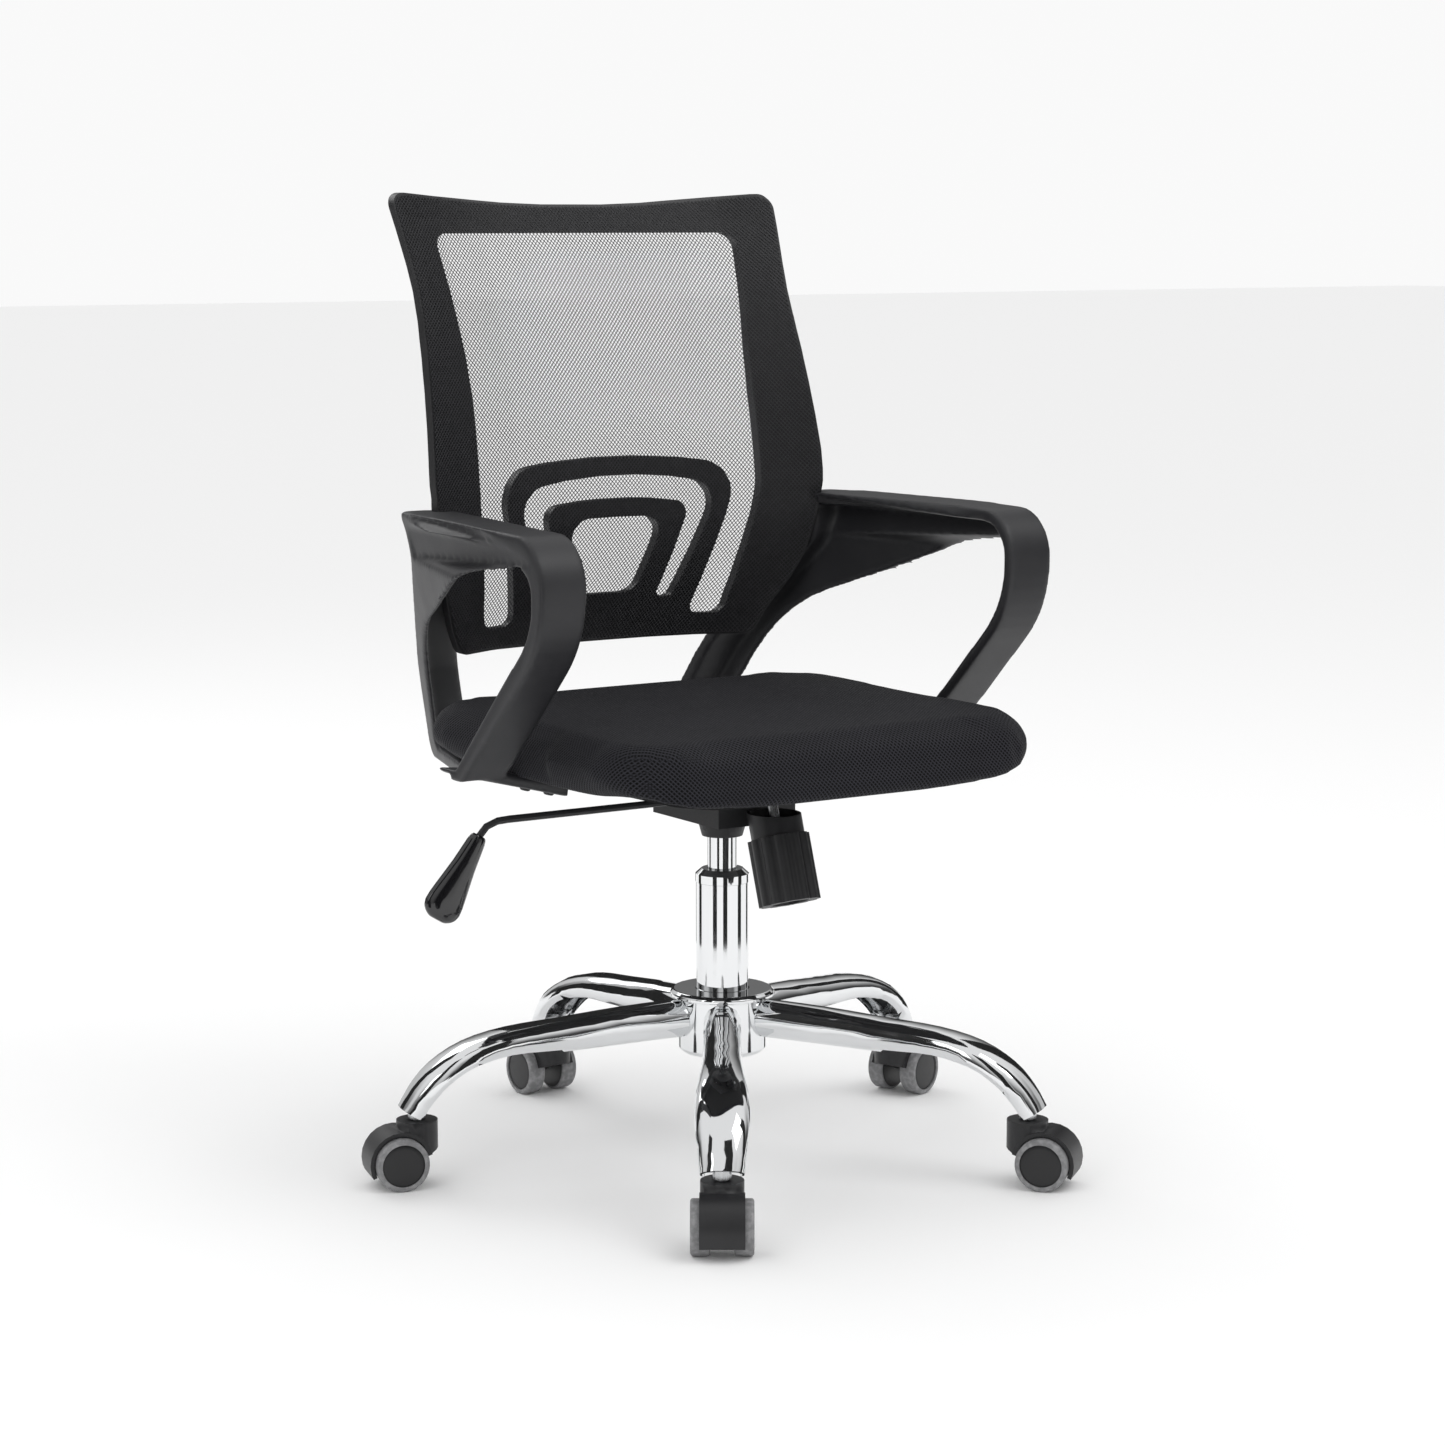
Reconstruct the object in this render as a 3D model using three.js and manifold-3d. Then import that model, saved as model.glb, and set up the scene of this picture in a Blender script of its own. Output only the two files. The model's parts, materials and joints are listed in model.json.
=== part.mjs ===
// Swivel office chair: five-star base on twin-wheel casters, gas lift, tilt mechanism,
// upholstered seat, loop armrests and a mesh back on a moulded frame.
// Millimetres, +Z up, floor at Z = 0, the sitter faces -Y, the sitter's left is +X.
import * as THREE from "three";
import { mergeVertices } from "three/addons/utils/BufferGeometryUtils.js";
import Module from "manifold-3d";

const wasm = await Module();
wasm.setup();

// ---------- driving dimensions ----------

const TURN = 2 * Math.PI;
const DEG = Math.PI / 180;

// Fits between neighbouring pieces
const TOUCH_GAP = 0.3; // fixed pieces that lie against each other
const RUN_GAP = 0.4; // radial gap of a turning or sliding fit
const SWING_GAP = 1; // between pieces that pass each other

// Where the column stands, measured from the middle of the chair's footprint
const COLUMN_X = 4;
const COLUMN_Y = -21;

// Casters
const WHEEL_RADIUS = 25;
const WHEEL_WIDTH = 17.5;
const WHEEL_SPACING = 21; // clear space between the two wheels
const TREAD_EDGE = 2.5;
const AXLE_RADIUS = 3;
const AXLE_INSET = 4; // from the wheel's outer face to the axle's end
const CASTER_TRAIL = 19; // from the swivel axis out to the axle
const HOOD_WALL = 4;
const HOOD_WIDTH = 40;
const HOOD_CUT_SLOPE = 0.35;
const HOOD_CUT_DROP = 3;
const COLLAR_RADIUS = 19.5;
const COLLAR_TOP = 62;
const STEM_RADIUS = 5.5;
const STEM_FOOT = 44;
const STEM_RISE = 20; // of the stem above the collar

// Five-star base
const LEG_COUNT = 5;
const FIRST_LEG_ANGLE = 21; // degrees from +X, counter-clockwise
const PIVOT_RADIUS = 300; // from the column to each caster's swivel axis
const LEG_WALL = 2.5;
const CHANNEL_LENGTH = 150; // of the leg's open underside, back from the swivel axis
const SOCKET_WALL = 2.5;
const SOCKET_PLATE = 3;
const SOCKET_PLATE_INSET = 3; // from the plate's side edges to the leg's inner walls
const SOCKET_PLATE_MARGIN = 5; // from the plate's lower and upper edges to the socket's ends
const HUB_RADIUS = 42;
const HUB_BOTTOM = 106;
const HUB_FOOT_CHAMFER = 4;
const HUB_TOP = 167;
const HUB_RING_RADIUS = 50;
const HUB_RING_HEIGHT = 6.5;
const HUB_BEVEL = 3;
// Leg sections from hub to tip: distance from the column, height of the middle, depth, width
const LEG_SECTIONS = [
  [30, 141, 36, 36],
  [100, 137, 35, 36],
  [PIVOT_RADIUS - 140, 132.5, 32, 38],
  [PIVOT_RADIUS - 88, 129.5, 27, 43],
  [PIVOT_RADIUS - 50, 120, 26.5, 49],
  [PIVOT_RADIUS - 22, 103.5, 27, 50],
  [PIVOT_RADIUS - 5, 86, 26, 45],
  [PIVOT_RADIUS + 6, 68.5, 25, 41],
];

// Gas lift
const COLUMN_RADIUS = 25;
const COLUMN_WALL = 2.5;
const COLUMN_FLOOR = 112;
const COLUMN_FLOOR_THICKNESS = 4;
const COLUMN_TOP = 270;
const CAP_HEIGHT = 13;
const CAP_BEVEL = 5;
const CAP_OVERHANG = 0.6;
const BUSH_LENGTH = 70;
const LIFT_RADIUS = 14;
const LIFT_WALL = 2.6;
const LIFT_BOTTOM = 128;
const LIFT_FLOOR = 4;
const TAPER_START = 316;
const LIFT_TOP = 341;
const TAPER_RADIUS = 12.8;
const ROD_RADIUS = 5;
const PISTON_THICKNESS = 10;
const PISTON_TOP = 300;
const ROD_END = 107.5;
const SHOULDER_RADIUS = 8;
const SHOULDER_THICKNESS = 2.7;
const BEARING_THICKNESS = 5.5;
const BEARING_RADIUS = 15;
const CLIP_THICKNESS = 2.4;
const CLIP_RADIUS = 10;
const PIN_RADIUS = 4;
const PIN_LENGTH = 18;

// Tilt mechanism
const HOUSING_HALF_WIDTH = 43;
const STEEL = 3; // sheet thickness of the housing
const HOUSING_FLOOR = 333;
const HOUSING_FRONT = -60;
const HOUSING_REAR = 55;
const HOUSING_REAR_TOP = 352;
const ARM_PLATE_TOP = 372;
const ARM_PLATE_FRONT = -104;
const SOCKET_BOTTOM = 315;
const SOCKET_BOTTOM_RADIUS = 19.5;
const SOCKET_TOP_RADIUS = 24.5;
const TILT_Y = -25;
const TILT_Z = 366;
const TILT_SHAFT_RADIUS = 5;
const TILT_SHAFT_PROUD = 2.5;
const PLATE_THICKNESS = 3.5;
const PLATE_HALF_WIDTH = 80;
const PLATE_FRONT = -115;
const PLATE_REAR = 85;
const LUG_FRONT = -50;
const LUG_REAR = -9;
const LUG_BOTTOM = 356;
const SHAFT_EYE = 12; // of the housing's wall around the tilt shaft, towards the rear
const ARM_PLATE_GUSSET = 12; // height of the wall below the arm plate at the front wall
const LUG_GAP = 1.5; // between a lug and the housing's wall

// Tension knob, hung from the seat plate on a bolt that leans forward as it goes down
const KNOB_LEAN = 18.5; // degrees from vertical
const KNOB_Y = -115; // middle of the knob's lower end
const KNOB_Z = 268;
const KNOB_RADIUS = 29;
const KNOB_LENGTH = 62;
const KNOB_CAVITY = 21.5;
const KNOB_FLOOR = 14;
const KNOB_RECESS = 6;
const KNOB_RECESS_RADIUS = 18;
const FLUTES = 12;
const FLUTE_DEPTH = 3;
const COVER_RADIUS = 25;
const COVER_WALL = 2.5;
const COVER_TOP = 349;
const BOLT_RADIUS = 5;
const BOLT_SLACK = 8; // of the hole in the housing around the bolt
const SPRING_RADIUS = 16;
const SPRING_WIRE = 4;
const SPRING_TURNS = 6;
const SPRING_PITCH = 8;

// Lever: pulls sideways to free the tilt, lifts to release the gas lift
const LEVER_RADIUS = 3.5;
const LEVER_ABOVE_LIFT = 11; // of the rod above the gas cylinder's top
const LEVER_INNER_END = 14;
const LEVER_BEND_X = -236;
const LEVER_DROP = 12;
const BALL_RADIUS = 7;
const HANDLE_ANGLE = 32; // degrees from vertical
const HANDLE_LENGTH = 86;
const HANDLE_TOP_X = -263;
const HANDLE_GRIP = 14; // of the rod inside the handle
// Handle sections along its length: share of the length, half width, half thickness
const HANDLE_SECTIONS = [
  [0, 7, 6],
  [0.08, 9.5, 7],
  [0.35, 12.5, 8],
  [0.65, 17.5, 9],
  [0.86, 20, 9],
  [0.96, 15, 7],
  [1, 8, 4],
];

// Seat
const PAN_BOTTOM = 380;
const PAN_THICKNESS = 10;
const PAN_INSET = 23; // from the cushion's outline in plan
const PAN_FLAT = 110; // half width of the pan's flat middle
const PAN_RISE = 16;
const SEAT_FRONT = -229;
const SEAT_REAR = 212;
const SEAT_HALF_WIDTH = 238;
const SEAT_CORNER = 78;
const SEAT_TOP = 437;
const SEAT_CROWN = 3;
const SEAT_EDGE = 26; // radius of the padding's upper edge
const SEAT_SKIRT_INSET = 8;
const SEAT_SKIRT_HEIGHT = 18; // from the cushion's lower edge to its widest line

// Armrests: one moulded loop each, a flange along the outside and a web on its outer side
const ARM_OUTER_X = 280;
const FLANGE_WIDTH = 49;
const FLANGE_THICKNESS = 12.5;
const WEB_THICKNESS = 6;
const ARM_TOP = 622;
const ARM_FRONT = -143; // of the loop's knee and of the arm pad
const ARM_REAR = 178; // of the arm pad
const REAR_FLANGE_WIDTH = 43;
const FOOT_INNER_X = 163;
const FOOT_THICKNESS = 15;
const FOOT_FRONT = 6;
const FOOT_LENGTH = 42;
const FOOT_RISE = 30; // how much higher the foot's outer end is than its inner end
const FOOT_TIP = 4; // thickness of the foot at its outer end
const LEG_END = 388; // height where the loop's front leg runs into its foot
const LEG_THICKNESS = 22; // of the front leg, along Y at its end
const REAR_END = 385; // the same for the rear leg
const REAR_FOOT_BOTTOM = 364;
const REAR_FOOT_FRONT = 140;
const REAR_FOOT_BACK = 294;
const REAR_FOOT_CHAMFER = 6;
const REAR_LEG_THICKNESS = 32;
const ARM_STEP = 30; // longest straight piece of the loop before it is bent
const ARM_BOW = 0.005; // how far a straight run of the loop bows out, as a share of its length
const NOTCH_GAP = 8; // between the cushion's notch and the front leg
const ARM_SWEEP_START = 69; // where the loop begins to turn in behind the back
const ARM_SWEEP = 0.3;
const ARM_LEAN = 0.23;
const ARM_LEAN_START = 26; // behind the front foot
const ARM_LEAN_LENGTH = 80;
// The loop in side view, as corners: distance along Y, height, corner radius
const ARM_TOP_CORNERS = [
  [FOOT_FRONT, LEG_END],
  [ARM_FRONT, 529, 105],
  [ARM_FRONT, ARM_TOP, 46],
  [ARM_REAR, ARM_TOP],
];
const ARM_REAR_CORNERS = [
  [ARM_REAR, ARM_TOP],
  [168, 588, 60],
  [263, 467, 120],
  [REAR_FOOT_BACK, REAR_END],
];
const ARM_OPENING_CORNERS = [
  [REAR_FOOT_BACK - REAR_LEG_THICKNESS, REAR_END],
  [206, 502, 130],
  [-10, 582, 200],
  [-124, 596, 28],
  [-124, 538, 66],
  [FOOT_FRONT + LEG_THICKNESS, LEG_END],
];

// Back
const BACK_DEPTH = 148; // of the frame's side edges at the lumbar height
const BACK_THICKNESS = 12;
const BACK_CONCAVITY = 33;
const BACK_BOW_POWER = 3.7;
const RECLINE_START = 560;
const RECLINE = 7.4e-4;
const LUMBAR_START = 640;
const LUMBAR_CURVE = 0.027;
const BACK_BOTTOM = 476;
const BACK_TOP = 908; // at the middle, where the top edge dips
const BACK_TOP_RISE = 12; // of the top corners above the middle
const TOP_BAR = 28; // height of the frame's top bar
const ARCH_TOP = 663; // of the outer lumbar arch
const ARCH_WIDTH = 18; // of each lumbar arch's band at the middle
const ARCH_SPACING = 23; // of the slot between the arches
const SLOT_TOP = ARCH_TOP - ARCH_WIDTH;
const SLOT_BOTTOM = SLOT_TOP - ARCH_SPACING;
const BACK_SILL = 50; // height of the frame's bottom bar at the middle
// Corners of the right half, seen from the front: half width, height, corner radius
const BACK_CORNERS = [
  [168, BACK_BOTTOM, 16],
  [212, 562, 100],
  [222, 645, 200],
  [209, 825, 300],
  [218, BACK_TOP + BACK_TOP_RISE, 14],
  [60, BACK_TOP, 600],
];
const WINDOW_CORNERS = [
  [50, ARCH_TOP, 400],
  [136, 652, 34],
  [100, 499, 10],
  [138, 499, 12],
  [161, 625, 150],
  [160, 745, 400],
  [173, BACK_TOP - TOP_BAR, 14],
];
const SLOT_OUTER_CORNERS = [
  [59, 519, 6],
  [78, 519, 6],
  [116, 633, 26],
  [40, SLOT_TOP, 300],
];
const SLOT_INNER_CORNERS = [
  [30, SLOT_BOTTOM, 200],
  [82, 616, 14],
];
const INNER_WINDOW_CORNERS = [
  [34, BACK_BOTTOM + BACK_SILL, 18],
  [55, 603, 18],
];
const BACK_EDGE_ROOM = 6; // of the uncut slab beyond the frame
const BACK_HALF_REACH = 228;
const BACK_COLUMNS = 12;
const BACK_ROWS = 14;
const RECLINE_ROOM = 60;
const MESH_THICKNESS = 1.5;
const MESH_INSET = 1.5;
const MESH_ROOM = 12; // kept clear in front of the frame by the armrests

// ---------- values that follow ----------

const ARM_PLATE_BOTTOM = ARM_PLATE_TOP - STEEL;
const AXLE_HALF_LENGTH = WHEEL_SPACING / 2 + WHEEL_WIDTH - AXLE_INSET;
const STEM_TOP = COLLAR_TOP + STEM_RISE;
const SOCKET_RADIUS = STEM_RADIUS + RUN_GAP + SOCKET_WALL;
const SOCKET_LOW = COLLAR_TOP + 1.5 * SWING_GAP;
const PLATE_TOP = PAN_BOTTOM - TOUCH_GAP;
const PAN_HALF_WIDTH = SEAT_HALF_WIDTH - PAN_INSET;
const legSections = faired(LEG_SECTIONS, 3);
const PLATE_BOTTOM = PLATE_TOP - PLATE_THICKNESS;
const CONE_SLOPE = (LIFT_RADIUS - TAPER_RADIUS) / (LIFT_TOP - TAPER_START);
const LEVER_Z = LIFT_TOP + LEVER_ABOVE_LIFT;
const PIN_TOP = LEVER_Z - LEVER_RADIUS - RUN_GAP;

// ---------- materials ----------

function finish(color, roughness, metalness) {
  return new THREE.MeshStandardMaterial({ color, roughness, metalness });
}

const chrome = finish(0xd4d6d9, 0.08, 1);
const steel = finish(0x9a9c9f, 0.35, 1);
const blackSteel = finish(0x1b1c1e, 0.45, 0.6);
const blackPlastic = finish(0x161719, 0.5, 0);
const glossPlastic = finish(0x0d0e10, 0.18, 0);
const charcoalNylon = finish(0x2e2f32, 0.6, 0);
const tyre = finish(0x77797c, 0.7, 0);
const seatFabric = finish(0x17181c, 0.9, 0);
const backMesh = finish(0x1a1b1e, 0.85, 0);
const plywood = finish(0xb59368, 0.7, 0);

// ---------- solids ----------

// A closed geometry as a solid that can be cut and joined.
function toSolid(geometry) {
  const bare = geometry.index ? geometry.toNonIndexed() : geometry.clone();
  bare.deleteAttribute("normal");
  bare.deleteAttribute("uv");
  const merged = mergeVertices(bare, 1e-4);
  const vertProperties = new Float32Array(merged.attributes.position.array);
  const triVerts = new Uint32Array(merged.index.array);
  return new wasm.Manifold(new wasm.Mesh({ numProp: 3, vertProperties, triVerts }));
}

function toGeometry(solid) {
  const mesh = solid.getMesh();
  const geometry = new THREE.BufferGeometry();
  const positions = new THREE.BufferAttribute(mesh.vertProperties, mesh.numProp);
  geometry.setAttribute("position", positions);
  geometry.setIndex(new THREE.BufferAttribute(mesh.triVerts, 1));
  geometry.computeVertexNormals();
  return geometry;
}

function join(...geometries) {
  const solids = geometries.map(toSolid);
  return toGeometry(solids.reduce((whole, piece) => whole.add(piece)));
}

function cut(geometry, ...tools) {
  const solids = tools.map(toSolid);
  return toGeometry(solids.reduce((rest, tool) => rest.subtract(tool), toSolid(geometry)));
}

function shared(first, second) {
  return toGeometry(toSolid(first).intersect(toSolid(second)));
}

function box(x0, x1, y0, y1, z0, z1) {
  const geometry = new THREE.BoxGeometry(x1 - x0, y1 - y0, z1 - z0);
  return geometry.translate((x0 + x1) / 2, (y0 + y1) / 2, (z0 + z1) / 2);
}

// A cylinder along Z, X or Y that starts at the given place on that axis.
function cylinder(radius, start, end, sides = 24, axis = "z") {
  const geometry = new THREE.CylinderGeometry(radius, radius, end - start, sides);
  geometry.translate(0, (start + end) / 2, 0);
  if (axis === "z") return geometry.rotateX(Math.PI / 2);
  if (axis === "x") return geometry.rotateZ(-Math.PI / 2);
  return geometry;
}

// The space a cylinder needs around it, with the touching gap kept on its flats as well.
function roomAround(radius, start, end, sides) {
  return cylinder((radius + TOUCH_GAP) / Math.cos(Math.PI / sides), start, end, sides);
}

// A body of revolution about Z from [radius, height] points, listed counter-clockwise.
function turned(points, sides = 32) {
  const profile = points.map(([radius, height]) => new THREE.Vector2(radius, height));
  return new THREE.LatheGeometry(profile, sides).rotateX(Math.PI / 2);
}

// A tube-like body of revolution: the profile closes on itself.
function ring(points, sides = 32) {
  return turned([...points, points[0]], sides);
}

function outlineOf(points) {
  return new THREE.Shape(points.map(([u, v]) => new THREE.Vector2(u, v)));
}

// A flat outline in the YZ plane, made thick along X from x0 to x1.
function slabX(outline, x0, x1) {
  const geometry = new THREE.ExtrudeGeometry(outline, { depth: x1 - x0, bevelEnabled: false });
  const axes = new THREE.Matrix4().makeBasis(
    new THREE.Vector3(0, 1, 0),
    new THREE.Vector3(0, 0, 1),
    new THREE.Vector3(1, 0, 0),
  );
  return geometry.applyMatrix4(axes).translate(x0, 0, 0);
}

// A flat outline in the XZ plane, made thick along Y from y0 to y1.
function slabY(outline, y0, y1) {
  const geometry = new THREE.ExtrudeGeometry(outline, { depth: y1 - y0, bevelEnabled: false });
  return geometry.rotateX(Math.PI / 2).translate(0, y1, 0);
}

// Moves each point of a geometry by a function of its place.
function bent(geometry, move) {
  const position = geometry.attributes.position;
  const point = new THREE.Vector3();
  for (let i = 0; i < position.count; i++) {
    move(point.fromBufferAttribute(position, i));
    position.setXYZ(i, point.x, point.y, point.z);
  }
  return geometry;
}

// A closed skin over rings of equally many points, with a fan over each end.
function loft(rings) {
  const count = rings[0].length;
  const points = rings.flat();
  const index = [];
  for (let r = 0; r + 1 < rings.length; r++) {
    for (let i = 0; i < count; i++) {
      const a = r * count + i;
      const b = r * count + ((i + 1) % count);
      index.push(a, b, b + count, a, b + count, a + count);
    }
  }
  for (const [first, turn] of [[0, 1], [points.length - count, 0]]) {
    const middle = points.length;
    const centre = new THREE.Vector3();
    points.slice(first, first + count).forEach((point) => centre.add(point));
    points.push(centre.divideScalar(count));
    for (let i = 0; i < count; i++) {
      const a = first + i;
      const b = first + ((i + 1) % count);
      index.push(...(turn ? [b, a, middle] : [a, b, middle]));
    }
  }
  const geometry = new THREE.BufferGeometry().setFromPoints(points);
  return geometry.setIndex(index);
}

// Rows of sizes with more rows between them, every size on its own smooth curve.
function faired(rows, steps) {
  const curve = new THREE.CubicInterpolant(rows.map((row, i) => i), rows.flat(), rows[0].length);
  const count = (rows.length - 1) * steps;
  return Array.from({ length: count + 1 }, (unused, i) => [...curve.evaluate(i / steps)]);
}

// A line through corners [u, v, radius], with an arc of that radius at each one that has it.
function rounded(corners) {
  const arcStep = 9 * DEG;
  return corners.flatMap(([u, v, radius], i) => {
    if (!radius) return [[u, v]];
    const corner = new THREE.Vector2(u, v);
    const [before, after] = [corners[i - 1], corners[i + 1]].map(([u1, v1]) => (
      new THREE.Vector2(u1, v1).sub(corner)
    ));
    const halfAngle = before.angleTo(after) / 2;
    const room = Math.min(before.length(), after.length()) / 2;
    const reach = Math.min(radius / Math.tan(halfAngle), room);
    before.normalize();
    after.normalize();
    const inward = before.clone().add(after).normalize();
    const centre = corner.clone().addScaledVector(inward, reach / Math.cos(halfAngle));
    const start = corner.clone().addScaledVector(before, reach).sub(centre);
    const end = corner.clone().addScaledVector(after, reach).sub(centre);
    const side = Math.sign(start.cross(end));
    const sweep = side * start.angleTo(end);
    const steps = Math.max(1, Math.ceil(Math.abs(sweep) / arcStep));
    return Array.from({ length: steps + 1 }, (unused, k) => {
      const point = start.clone().rotateAround(new THREE.Vector2(), sweep * k / steps).add(centre);
      return [point.x, point.y];
    });
  });
}

// The same line with its long straight pieces divided and bowed a little to their left.
function bowed(line, longest, bow) {
  return line.flatMap(([u, v], i) => {
    if (i + 1 === line.length) return [[u, v]];
    const [u1, v1] = line[i + 1];
    const pieces = Math.ceil(Math.hypot(u1 - u, v1 - v) / longest);
    return Array.from({ length: pieces }, (unused, k) => {
      const share = k / pieces;
      const out = 4 * bow * share * (1 - share);
      return [u + share * (u1 - u) - out * (v1 - v), v + share * (v1 - v) + out * (u1 - u)];
    });
  });
}

function smoothstep(value) {
  const t = THREE.MathUtils.clamp(value, 0, 1);
  return t * t * (3 - 2 * t);
}

// ---------- the chair ----------

const chair = new THREE.Group();
chair.position.set(COLUMN_X, COLUMN_Y, 0);

function add(name, geometry, material, parent = chair) {
  const mesh = new THREE.Mesh(geometry, material);
  mesh.name = name;
  parent.add(mesh);
  return mesh;
}

function groupAt(x, y, angle) {
  const group = new THREE.Group();
  group.position.set(x, y, 0);
  group.rotation.z = angle;
  chair.add(group);
  return group;
}

// ---------- base ----------

function hubGeometry() {
  const bore = COLUMN_RADIUS + TOUCH_GAP;
  const ringBottom = HUB_TOP - HUB_RING_HEIGHT;
  return ring([
    [bore, HUB_BOTTOM],
    [HUB_RADIUS - HUB_FOOT_CHAMFER, HUB_BOTTOM],
    [HUB_RADIUS, HUB_BOTTOM + HUB_FOOT_CHAMFER],
    [HUB_RADIUS, ringBottom],
    [HUB_RING_RADIUS, ringBottom],
    [HUB_RING_RADIUS, HUB_TOP - HUB_BEVEL],
    [HUB_RING_RADIUS - HUB_BEVEL, HUB_TOP],
    [bore, HUB_TOP],
  ], 32);
}

// One cross-section of a leg, square to its middle line, rounder on top than below.
function legRing(distance, height, depth, width, slope, drop = 0) {
  const sides = 12;
  const across = new THREE.Vector3(-Math.sin(slope), 0, Math.cos(slope));
  const points = [];
  for (let i = 0; i < sides; i++) {
    const angle = (i + 0.5) / sides * TURN;
    const side = Math.sign(Math.cos(angle)) * Math.abs(Math.cos(angle)) ** 0.8;
    const point = new THREE.Vector3(distance, side * width / 2, height);
    points.push(point.addScaledVector(across, Math.sin(angle) * depth / 2 - drop));
  }
  return points;
}

function legSlope(index) {
  const before = legSections[Math.max(index - 1, 0)];
  const after = legSections[Math.min(index + 1, legSections.length - 1)];
  return Math.atan2(after[1] - before[1], after[0] - before[0]);
}

// The leg is a closed tube at the hub and a channel, open below, towards its tip.
function legGeometry() {
  const outside = [];
  const inside = [];
  legSections.forEach(([distance, height, depth, width], index) => {
    const slope = legSlope(index);
    outside.push(legRing(distance, height, depth, width, slope));
    if (distance < PIVOT_RADIUS - CHANNEL_LENGTH) return;
    const bore = width - 2 * LEG_WALL;
    inside.push(legRing(distance, height, depth, bore, slope, LEG_WALL));
  });
  const last = legSections.at(-1);
  const slope = legSlope(legSections.length - 1);
  const runOut = 4;
  const end = [last[0] + runOut * Math.cos(slope), last[1] + runOut * Math.sin(slope)];
  inside.push(legRing(...end, last[2], last[3] - 2 * LEG_WALL, slope, LEG_WALL));
  const hubRoom = roomAround(HUB_RADIUS, 0, HUB_TOP, 32);
  const socketRoom = roomAround(SOCKET_RADIUS, SOCKET_LOW, socketTop() + TOUCH_GAP, 12);
  return cut(loft(outside), loft(inside), hubRoom, socketRoom.translate(PIVOT_RADIUS, 0, 0));
}

function socketTop() {
  return STEM_TOP + RUN_GAP;
}

// The tube that holds a caster's stem, welded into the leg's channel by a cross plate.
function socketGeometry() {
  const body = cylinder(SOCKET_RADIUS, SOCKET_LOW, socketTop(), 12);
  const reach = LEG_SECTIONS.at(-1)[3] / 2 - LEG_WALL - SOCKET_PLATE_INSET;
  const low = SOCKET_LOW + SOCKET_PLATE_MARGIN;
  const high = socketTop() - SOCKET_PLATE_MARGIN;
  const plate = box(-SOCKET_PLATE / 2, SOCKET_PLATE / 2, -reach, reach, low, high);
  const bore = cylinder(STEM_RADIUS + RUN_GAP, SOCKET_LOW - 1, socketTop() + 1, 12);
  return cut(join(body, plate), bore);
}

// ---------- casters, each pointing along +X from its swivel axis ----------

function hoodGeometry() {
  const reach = WHEEL_RADIUS + SWING_GAP + HOOD_WALL;
  const drum = cylinder(reach, -HOOD_WIDTH / 2, HOOD_WIDTH / 2, 24, "y");
  drum.translate(CASTER_TRAIL, 0, WHEEL_RADIUS);
  const collar = cylinder(COLLAR_RADIUS, WHEEL_RADIUS, COLLAR_TOP, 20);
  const tools = [];
  const room = WHEEL_RADIUS + SWING_GAP;
  const web = WHEEL_SPACING / 2 - SWING_GAP;
  for (const side of [-1, 1]) {
    const ends = [side * web, side * HOOD_WIDTH].sort((a, b) => a - b);
    const pocket = cylinder(room, ends[0], ends[1], 24, "y");
    tools.push(pocket.translate(CASTER_TRAIL, 0, WHEEL_RADIUS));
  }
  const far = 2 * reach;
  const lineAt = (x) => WHEEL_RADIUS - HOOD_CUT_DROP - HOOD_CUT_SLOPE * (x - CASTER_TRAIL);
  const below = outlineOf([
    [-far, -far],
    [2 * far, -far],
    [2 * far, lineAt(2 * far)],
    [-far, lineAt(-far)],
  ]);
  tools.push(slabY(below, -far, far));
  tools.push(cylinder(STEM_RADIUS + TOUCH_GAP, STEM_FOOT - TOUCH_GAP, COLLAR_TOP + 1, 12));
  const axleHole = cylinder(AXLE_RADIUS + TOUCH_GAP, -HOOD_WIDTH, HOOD_WIDTH, 10, "y");
  tools.push(axleHole.translate(CASTER_TRAIL, 0, WHEEL_RADIUS));
  return cut(join(drum, collar), ...tools);
}

// A wheel about its own axle, spanning Z = 0 (inner face) to its width.
function wheelGeometry() {
  const bore = AXLE_RADIUS + RUN_GAP;
  const rim = WHEEL_RADIUS - 6;
  const profile = [
    [bore, 0],
    [WHEEL_RADIUS - TREAD_EDGE, 0],
    [WHEEL_RADIUS, TREAD_EDGE],
    [WHEEL_RADIUS, WHEEL_WIDTH - 2 * TREAD_EDGE],
    [WHEEL_RADIUS - TREAD_EDGE, WHEEL_WIDTH - TREAD_EDGE],
    [rim, WHEEL_WIDTH],
    [bore, WHEEL_WIDTH],
  ];
  return ring(profile, 24);
}

function addCaster(number, x, y, angle) {
  const group = groupAt(x, y, angle);
  add(`caster_hood_${number}`, hood, blackPlastic, group);
  add(`caster_stem_${number}`, cylinder(STEM_RADIUS, STEM_FOOT, STEM_TOP, 12), steel, group);
  const axle = cylinder(AXLE_RADIUS, -AXLE_HALF_LENGTH, AXLE_HALF_LENGTH, 10, "y");
  add(`caster_axle_${number}`, axle, steel, group).position.set(CASTER_TRAIL, 0, WHEEL_RADIUS);
  for (const [word, side] of [["left", 1], ["right", -1]]) {
    const mesh = add(`wheel_${word}_${number}`, wheel, tyre, group);
    mesh.position.set(CASTER_TRAIL, side * WHEEL_SPACING / 2, WHEEL_RADIUS);
    mesh.rotation.x = -side * Math.PI / 2;
  }
}

// ---------- gas lift ----------

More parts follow.
